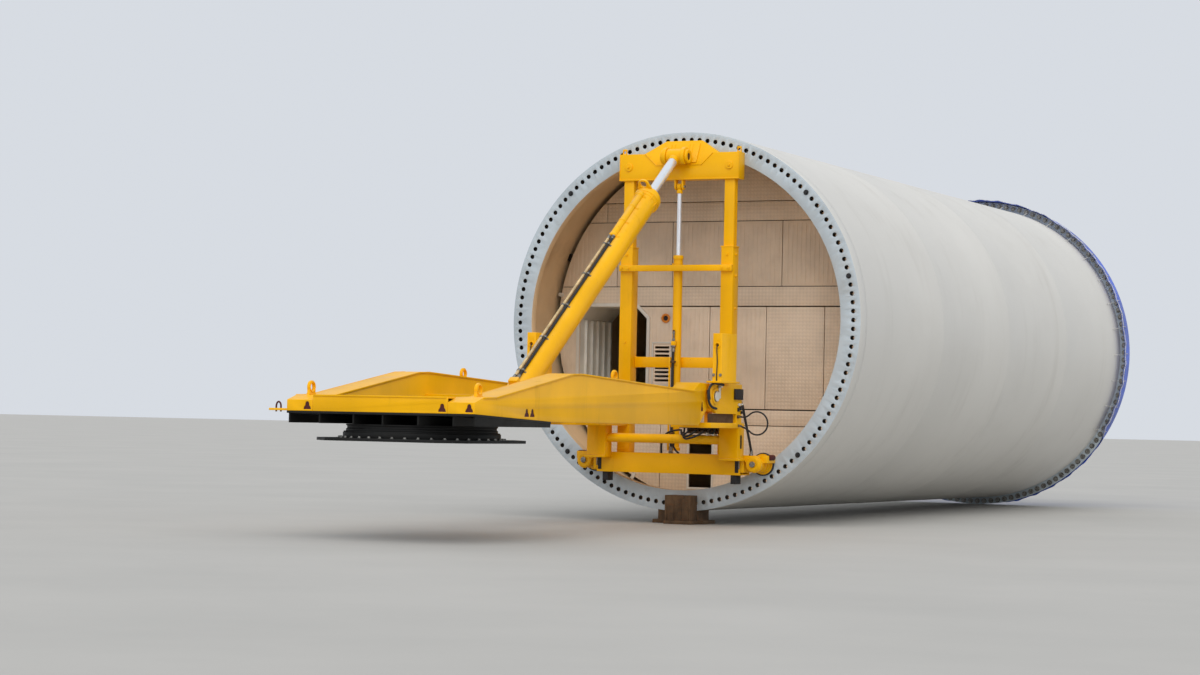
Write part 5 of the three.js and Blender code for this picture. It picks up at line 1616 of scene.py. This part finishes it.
def edge_lip(side, x0, x1, line, thick=0.02):
    """A flat bar that stands proud of a girder's top edge and runs along it."""
    bars = []
    low, high = sorted((side * x0, side * x1))
    for (y0, z0), (y1, z1) in zip(line, line[1:]):
        corners = [at(low, y0, z0 - thick), at(low, y1, z1 - thick), at(low, y1, z1), at(low, y0, z0)]
        bars.append(new_plate(corners, X * (high - low)))
    return bars


class TOWER_OT_arm(bpy.types.Operator):
    """Dresses the arm's girders and beams, with the slots cut in them"""
    bl_idname = "tower.arm"
    bl_label = "Arm"

    def execute(self, context):
        edge = context.scene.tower_sizes.steel_edge
        fillers, rings, lips, beads = [], [], [], []
        top = [(-9.25, -1.356), (-8.9, -1.346), (-6.7, -0.996), (-6.44, -0.986), (-2.64, -1.146)]
        for side, word in ((1, "right"), (-1, "left")):
            girder = copied(f"girder_{word}")
            tools = []
            for x, y, z, way in SLOTS[word]:
                hinge = y > -3
                out = way * side if way == X else way
                wide = 0.115 if way == -Y else 0.1 if hinge else 0.14
                tool, back = slot_tool(at(side * x, y, z), out, 0.142 if hinge else 0.105, wide)
                tools.append(tool)
                fillers.append(back)
            for y, z in EYES[word]:
                tools.append(new_rod(at(side * 1.15, y, z), at(side * 1.24, y, z), 0.056, 40))
            combined(girder, joined(tools))
            done(softened(girder, edge), f"girder_{word}_steelwork", "arm", "yellow", f"girder_{word}")
            lips += edge_lip(side, 1.3895, 1.402, top)
            lips += edge_lip(side, 0.988, 1.0005, top[1:])
            for x in (0.9985, 1.3915):
                beads.append([at(side * x, y, z - 0.026) for y, z in top[1:]])
            for y, z in EYES[word]:
                for face in (-1, 1):
                    middle = at(side * 1.195 + face * 0.018, y, z)
                    rings.append(new_turned(EYE_RING, middle, X * face, Z, 40))
                    foot = z - (0.088 if y < -8 else 0.06)
                    beads.append([at(side * 1.195 + face * 0.02, y - 0.08, foot),
                                  at(side * 1.195 + face * 0.02, y + 0.08, foot)])
            for z in (-1.615, -1.305):
                beads.append([at(side * 0.997, -6.52, z), at(side * 0.997, -6.28, z)])
        crossbeam = copied("front_crossbeam")
        tool, back = slot_tool(at(0.92, -9.48, -1.5), -Y, 0.105, 0.115)
        combined(crossbeam, tool)
        done(softened(crossbeam, edge), "front_crossbeam_steelwork", "arm", "yellow", "front_crossbeam")
        fillers.append(back)
        lips.append(new_block((-0.985, -9.49, -1.379), (0.985, -9.4795, -1.358)))
        steelwork("yellow", edge, "luff_foot_beam", "lashing_tab_left")
        done(joined(fillers), "slot_backs", "arm", "red")
        done(softened(joined(rings), 0.002), "lifting_eye_rings", "arm", "yellow")
        done(softened(joined(lips), 0.003), "girder_edge_lips", "arm", "yellow")
        welds = joined([new_strand(line, 0.006, 1, smooth=False) for line in beads])
        done(welds, "arm_welds", "arm", "yellow")
        done(lashing_shackle(), "lashing_shackle", "arm", "red")
        return {"FINISHED"}


def lashing_shackle():
    """A small red shackle that stands in the lashing tab's hole."""
    middle = at(-1.63, -9.3, -1.56)
    bow = [middle + Vector((0.036 * math.cos(a), 0, 0.04 + 0.06 * math.sin(a))) for a in half_turn(12)]
    bow = [middle + Vector((0.036, 0, -0.03)), *bow, middle + Vector((-0.036, 0, -0.03))]
    return new_strand(bow, 0.012, 2)


class TOWER_OT_underframe(bpy.types.Operator):
    """Dresses the dark underframe, the slewing ring and the turntable"""
    bl_idname = "tower.underframe"
    bl_label = "Underframe and turntable"

    def execute(self, context):
        steelwork("dark", 0.004, "deck_plate", "underframe")
        centre = at(0, SLEW_Y, 0)
        race = -1.73 - 0.09
        fixed = new_turned([(0.7079, race), (1.0, race), (1.0, race + 0.03), (0.985, race + 0.036),
                            (0.985, -1.7563), (1.0, -1.75), (1.0, -1.7303), (0.7079, -1.7303)],
                           centre, Z, X, 96)
        spigot = new_turned([(0.7079, race - 0.0604), (0.7779, race - 0.0604), (0.7779, race + 0.01),
                             (0.7079, race + 0.01)], centre, Z, X, 96)
        ring = softened(joined([fixed, spigot]), 0.003)
        done(ring, "slewing_ring", "arm", "dark", "slew_ring")
        top = race - 0.0004
        base = new_turned([(0.78, top - 0.09), (1.04, top - 0.09), (1.04, top - 0.02), (1.03, top - 0.012),
                           (1.03, top), (0.78, top)], centre, Z, X, 96)
        done(softened(base, 0.003), "turntable_race", "turntable", "dark", "turntable_ring")
        steelwork("dark", 0.006, "turntable_plate")
        places = []
        for i in range(40):
            angle = i / 40 * TURN
            place = centre + Vector((1.09 * math.cos(angle), 1.09 * math.sin(angle), 0))
            if max(abs(place.x - centre.x), abs(place.y - centre.y)) < 1.1:
                places.append((Vector((place.x, place.y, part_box("turntable_plate")[1].z)), Z))
        done(new_bolts(places, 0.03), "turntable_bolts", "turntable", "zinc")
        return {"FINISHED"}


def hood(half_wide, rise, height, along):
    """The arched outline of the pipe cover over the luffing barrel."""
    arch = [along_luff(half_wide * math.cos(a), BARREL_R + rise + height * math.sin(a), along)
            for a in half_turn(8)]
    return [*arch, along_luff(-half_wide, BARREL_SEAT, along), along_luff(half_wide, BARREL_SEAT, along)]


def luff_block(half_wide, out, near, far, height):
    """A block over or in the luffing cylinder, from one distance along it to another."""
    corners = [along_luff(-half_wide, out, near), along_luff(half_wide, out, near),
               along_luff(half_wide, out, far), along_luff(-half_wide, out, far)]
    return new_plate(corners, LUFF_OUT * height)


class TOWER_OT_luff_cylinder(bpy.types.Operator):
    """Turns the luffing cylinder, with its pipe cover, hoses and clips"""
    bl_idname = "tower.luff_cylinder"
    bl_label = "Luffing cylinder"

    def execute(self, context):
        foot = along_luff(0, 0, 0)
        mouth = LUFF_MOUTH
        barrel = new_turned([
            (0, 0.1), (0.11, 0.1), (0.11, 0.17), (0.165, 0.185), (0.185, 0.2), (0.185, mouth - 0.215),
            (0.2, mouth - 0.2), (0.2, mouth - 0.16), (0.215, mouth - 0.15), (0.215, mouth - 0.05),
            (0.205, mouth - 0.042), (0.205, mouth - 0.03), (0.195, mouth - 0.008), (0.15, mouth),
            (0.09, mouth), (0.0765, mouth - 0.01), (0.0765, mouth - 0.18),
            (0.15, mouth - 0.18), (0.15, 0.32), (0, 0.32),
        ], foot, LUFF_AXIS, LUFF_OUT, 80, closed=False)
        smoothed(35)
        eye = new_rod(along_luff(-0.125, 0, 0), along_luff(0.125, 0, 0), 0.13, 56)
        cheek = luff_block(0.09, 0.09, 0.02, 0.13, -0.18)
        foot_eye = combined(combined(eye, cheek, "UNION"),
                            new_rod(along_luff(-0.3, 0, 0), along_luff(0.3, 0, 0), 0.0765, 48))
        softened(foot_eye, 0.006)

        gussets = []
        for i in range(10):
            angle = i / 10 * TURN + TURN / 20
            way = LUFF_OUT * math.cos(angle) + X * math.sin(angle)
            across = way.cross(LUFF_AXIS) * 0.012
            start = foot - across / 2
            gussets.append(new_plate([start + way * 0.18 + LUFF_AXIS * (mouth - 0.34),
                                      start + way * 0.18 + LUFF_AXIS * (mouth - 0.14),
                                      start + way * 0.214 + LUFF_AXIS * (mouth - 0.14),
                                      start + way * 0.205 + LUFF_AXIS * (mouth - 0.2)], across))
        lug_points = [along_luff(0.09 * math.cos(a), 0.27 + 0.08 * math.sin(a), mouth - 0.075)
                      for a in half_turn(16)]
        lug_points += [along_luff(-0.12, 0.19, mouth - 0.075), along_luff(0.12, 0.19, mouth - 0.075)]
        lug = combined(new_plate(lug_points, LUFF_AXIS * 0.04),
                       new_rod(along_luff(0, 0.272, mouth - 0.15), along_luff(0, 0.272, mouth), 0.052, 32))
        extras = softened(joined([*gussets, lug]), 0.004)
        block = softened(luff_block(0.07, 0.125, 0.32, 0.4197, 0.115), 0.008)
        done(joined([barrel, foot_eye, extras, block]), "luffing_barrel", "luff_barrel", "yellow",
             "luff_barrel")

        piston = mouth - 1.3
        rod = new_turned([(0, piston), (0.149, piston), (0.149, piston + 0.16), (0.075, piston + 0.16),
                          (0.075, LUFF_LENGTH - 0.1), (0, LUFF_LENGTH - 0.1)],
                         foot, LUFF_AXIS, LUFF_OUT, 64, closed=False)
        smoothed(35)
        done(rod, "luffing_rod", "luff_rod", "chrome", "luff_rod")
        head = new_turned([(0.0555, -0.125), (0.118, -0.125), (0.125, -0.118), (0.125, 0.118), (0.118, 0.125),
                           (0.0555, 0.125)], along_luff(0, 0, LUFF_LENGTH), X, Z, 64)
        smoothed(35)
        neck = new_rod(along_luff(0, 0, LUFF_LENGTH - 0.17), along_luff(0, 0, LUFF_LENGTH - 0.1),
                       0.082, 48, 0.095)
        done(joined([head, softened(neck, 0.004)]), "luffing_rod_eye", "luff_rod", "yellow")

        joint = mouth - 1.48
        end = mouth - 0.205
        cover = new_plate(hood(0.055, 0.012, 0.046, joint), LUFF_AXIS * (end - joint))
        straps, places = [], []
        for along in (joint + 0.02, joint + 0.42, joint + 0.84, end - 0.1):
            straps.append(new_plate(hood(0.062, 0.014, 0.05, along), LUFF_AXIS * 0.05))
            for side in (-1, 1):
                foot_plate = new_plate([along_luff(side * 0.05, BARREL_R - 0.02, along),
                                        along_luff(side * 0.1, BARREL_R - 0.034, along),
                                        along_luff(side * 0.1, BARREL_R - 0.018, along),
                                        along_luff(side * 0.05, BARREL_R + 0.002, along)], LUFF_AXIS * 0.05)
                straps.append(foot_plate)
                places.append((along_luff(side * 0.08, BARREL_R - 0.018, along + 0.025),
                               (LUFF_OUT + X * side * 0.4).normalized()))
        done(softened(joined([cover, *straps]), 0.004, 40), "pipe_cover", "luff_barrel", "yellow",
             "barrel_pipe_cover")

        for word, x, finish, node in (("cream", -0.032, "cream", "barrel_hose_cream"),
                                      ("dark", 0.032, "black", "barrel_hose_dark")):
            line = [along_luff(x, BARREL_HOSE, 0.42 + (joint - 0.4205) * i / 8) for i in range(9)]
            hose = new_strand(line, 0.0218, 4, smooth=False)
            done(hose, f"{word}_luffing_hose", "luff_barrel", finish, node)
        clips, ends = [], []
        for i in range(5):
            along = 0.62 + i * (joint - 0.85) / 4
            for x in (-0.032, 0.032):
                clips.append(new_turned([(0.0222, -0.016), (0.029, -0.016), (0.029, 0.016), (0.0222, 0.016)],
                                        along_luff(x, BARREL_HOSE, along), LUFF_AXIS, LUFF_OUT, 24))
            corners = ((-0.075, BARREL_R - 0.02), (0.075, BARREL_R - 0.02), (0.075, BARREL_SEAT),
                       (-0.075, BARREL_SEAT))
            clips.append(new_plate([along_luff(x, out, along - 0.016) for x, out in corners],
                                   LUFF_AXIS * 0.032))
            places.append((along_luff(0, BARREL_SEAT, along), LUFF_OUT))
        done(softened(joined(clips), 0.002), "hose_clips", "luff_barrel", "zinc")
        for x in (-0.032, 0.032):
            for a, b in ((0.42, 0.6), (joint, joint - 0.2)):
                start = along_luff(x, BARREL_HOSE, a)
                ends.append(hose_end(start, along_luff(x, BARREL_HOSE, b), 0.0185))
        done(joined(ends), "luffing_hose_ends", "luff_barrel", "zinc")
        done(new_bolts(places, 0.02), "barrel_bolts", "luff_barrel", "yellow")
        face_bolts = []
        for i in range(12):
            angle = (i + 0.5) / 12 * TURN
            way = LUFF_OUT * math.cos(angle) + X * math.sin(angle)
            face_bolts.append((foot + way * 0.125 + LUFF_AXIS * (mouth - 0.0005), LUFF_AXIS))
        done(new_bolts(face_bolts, 0.024), "gland_bolts", "luff_barrel", "zinc")
        return {"FINISHED"}


class TOWER_OT_foot(bpy.types.Operator):
    """Dresses the rusty transport foot under the near flange"""
    bl_idname = "tower.foot"
    bl_label = "Transport foot"

    def execute(self, context):
        steelwork("rust", 0.006, "transport_foot_block", "transport_foot_shoe")
        ribs = []
        for x in (-0.08, 0.05, 0.175, 0.305):
            outline = [at(x - 0.008, y, z) for y, z in
                       ((-0.2798, -3.189), (-0.2995, -3.189), (-0.2995, -3.1), (-0.2798, -2.85))]
            ribs.append(new_plate(outline, X * 0.016))
        done(softened(joined(ribs), 0.002), "foot_gussets", "tower", "rust")
        return {"FINISHED"}


STEPS = [
    ("stage", TOWER_OT_stage), ("hoses", TOWER_OT_hoses), ("shell", TOWER_OT_shell),
    ("near_flange", TOWER_OT_near_flange), ("far_flange", TOWER_OT_far_flange), ("cover", TOWER_OT_cover),
    ("platform", TOWER_OT_platform), ("platform_openings", TOWER_OT_platform_openings),
    ("mast", TOWER_OT_mast), ("lift_cylinder", TOWER_OT_lift_cylinder), ("clamps", TOWER_OT_clamps),
    ("hinges", TOWER_OT_hinges),
    ("uprights", TOWER_OT_uprights), ("arm", TOWER_OT_arm), ("underframe", TOWER_OT_underframe),
    ("luff_cylinder", TOWER_OT_luff_cylinder), ("foot", TOWER_OT_foot),
]


class TOWER_PT_panel(bpy.types.Panel):
    """The tower section's operators and values"""
    bl_idname = "TOWER_PT_panel"
    bl_label = "Tower section"
    bl_space_type = "VIEW_3D"
    bl_region_type = "UI"
    bl_category = "Tower"

    def draw(self, context):
        for _, operator in STEPS:
            self.layout.operator(operator.bl_idname)
        for group in (context.scene.tower_sizes, context.scene.tower_colours):
            for key in group.__annotations__:
                self.layout.prop(group, key)


CLASSES = (TowerSizes, TowerColours, *(operator for _, operator in STEPS), TOWER_PT_panel)


def register():
    for one in CLASSES:
        bpy.utils.register_class(one)
    bpy.types.Scene.tower_sizes = PointerProperty(type=TowerSizes)
    bpy.types.Scene.tower_colours = PointerProperty(type=TowerColours)


def unregister():
    del bpy.types.Scene.tower_colours
    del bpy.types.Scene.tower_sizes
    for one in reversed(CLASSES):
        bpy.utils.unregister_class(one)


def main():
    register()
    for name, _ in STEPS:
        getattr(bpy.ops.tower, name)()


if __name__ == "__main__":
    main()
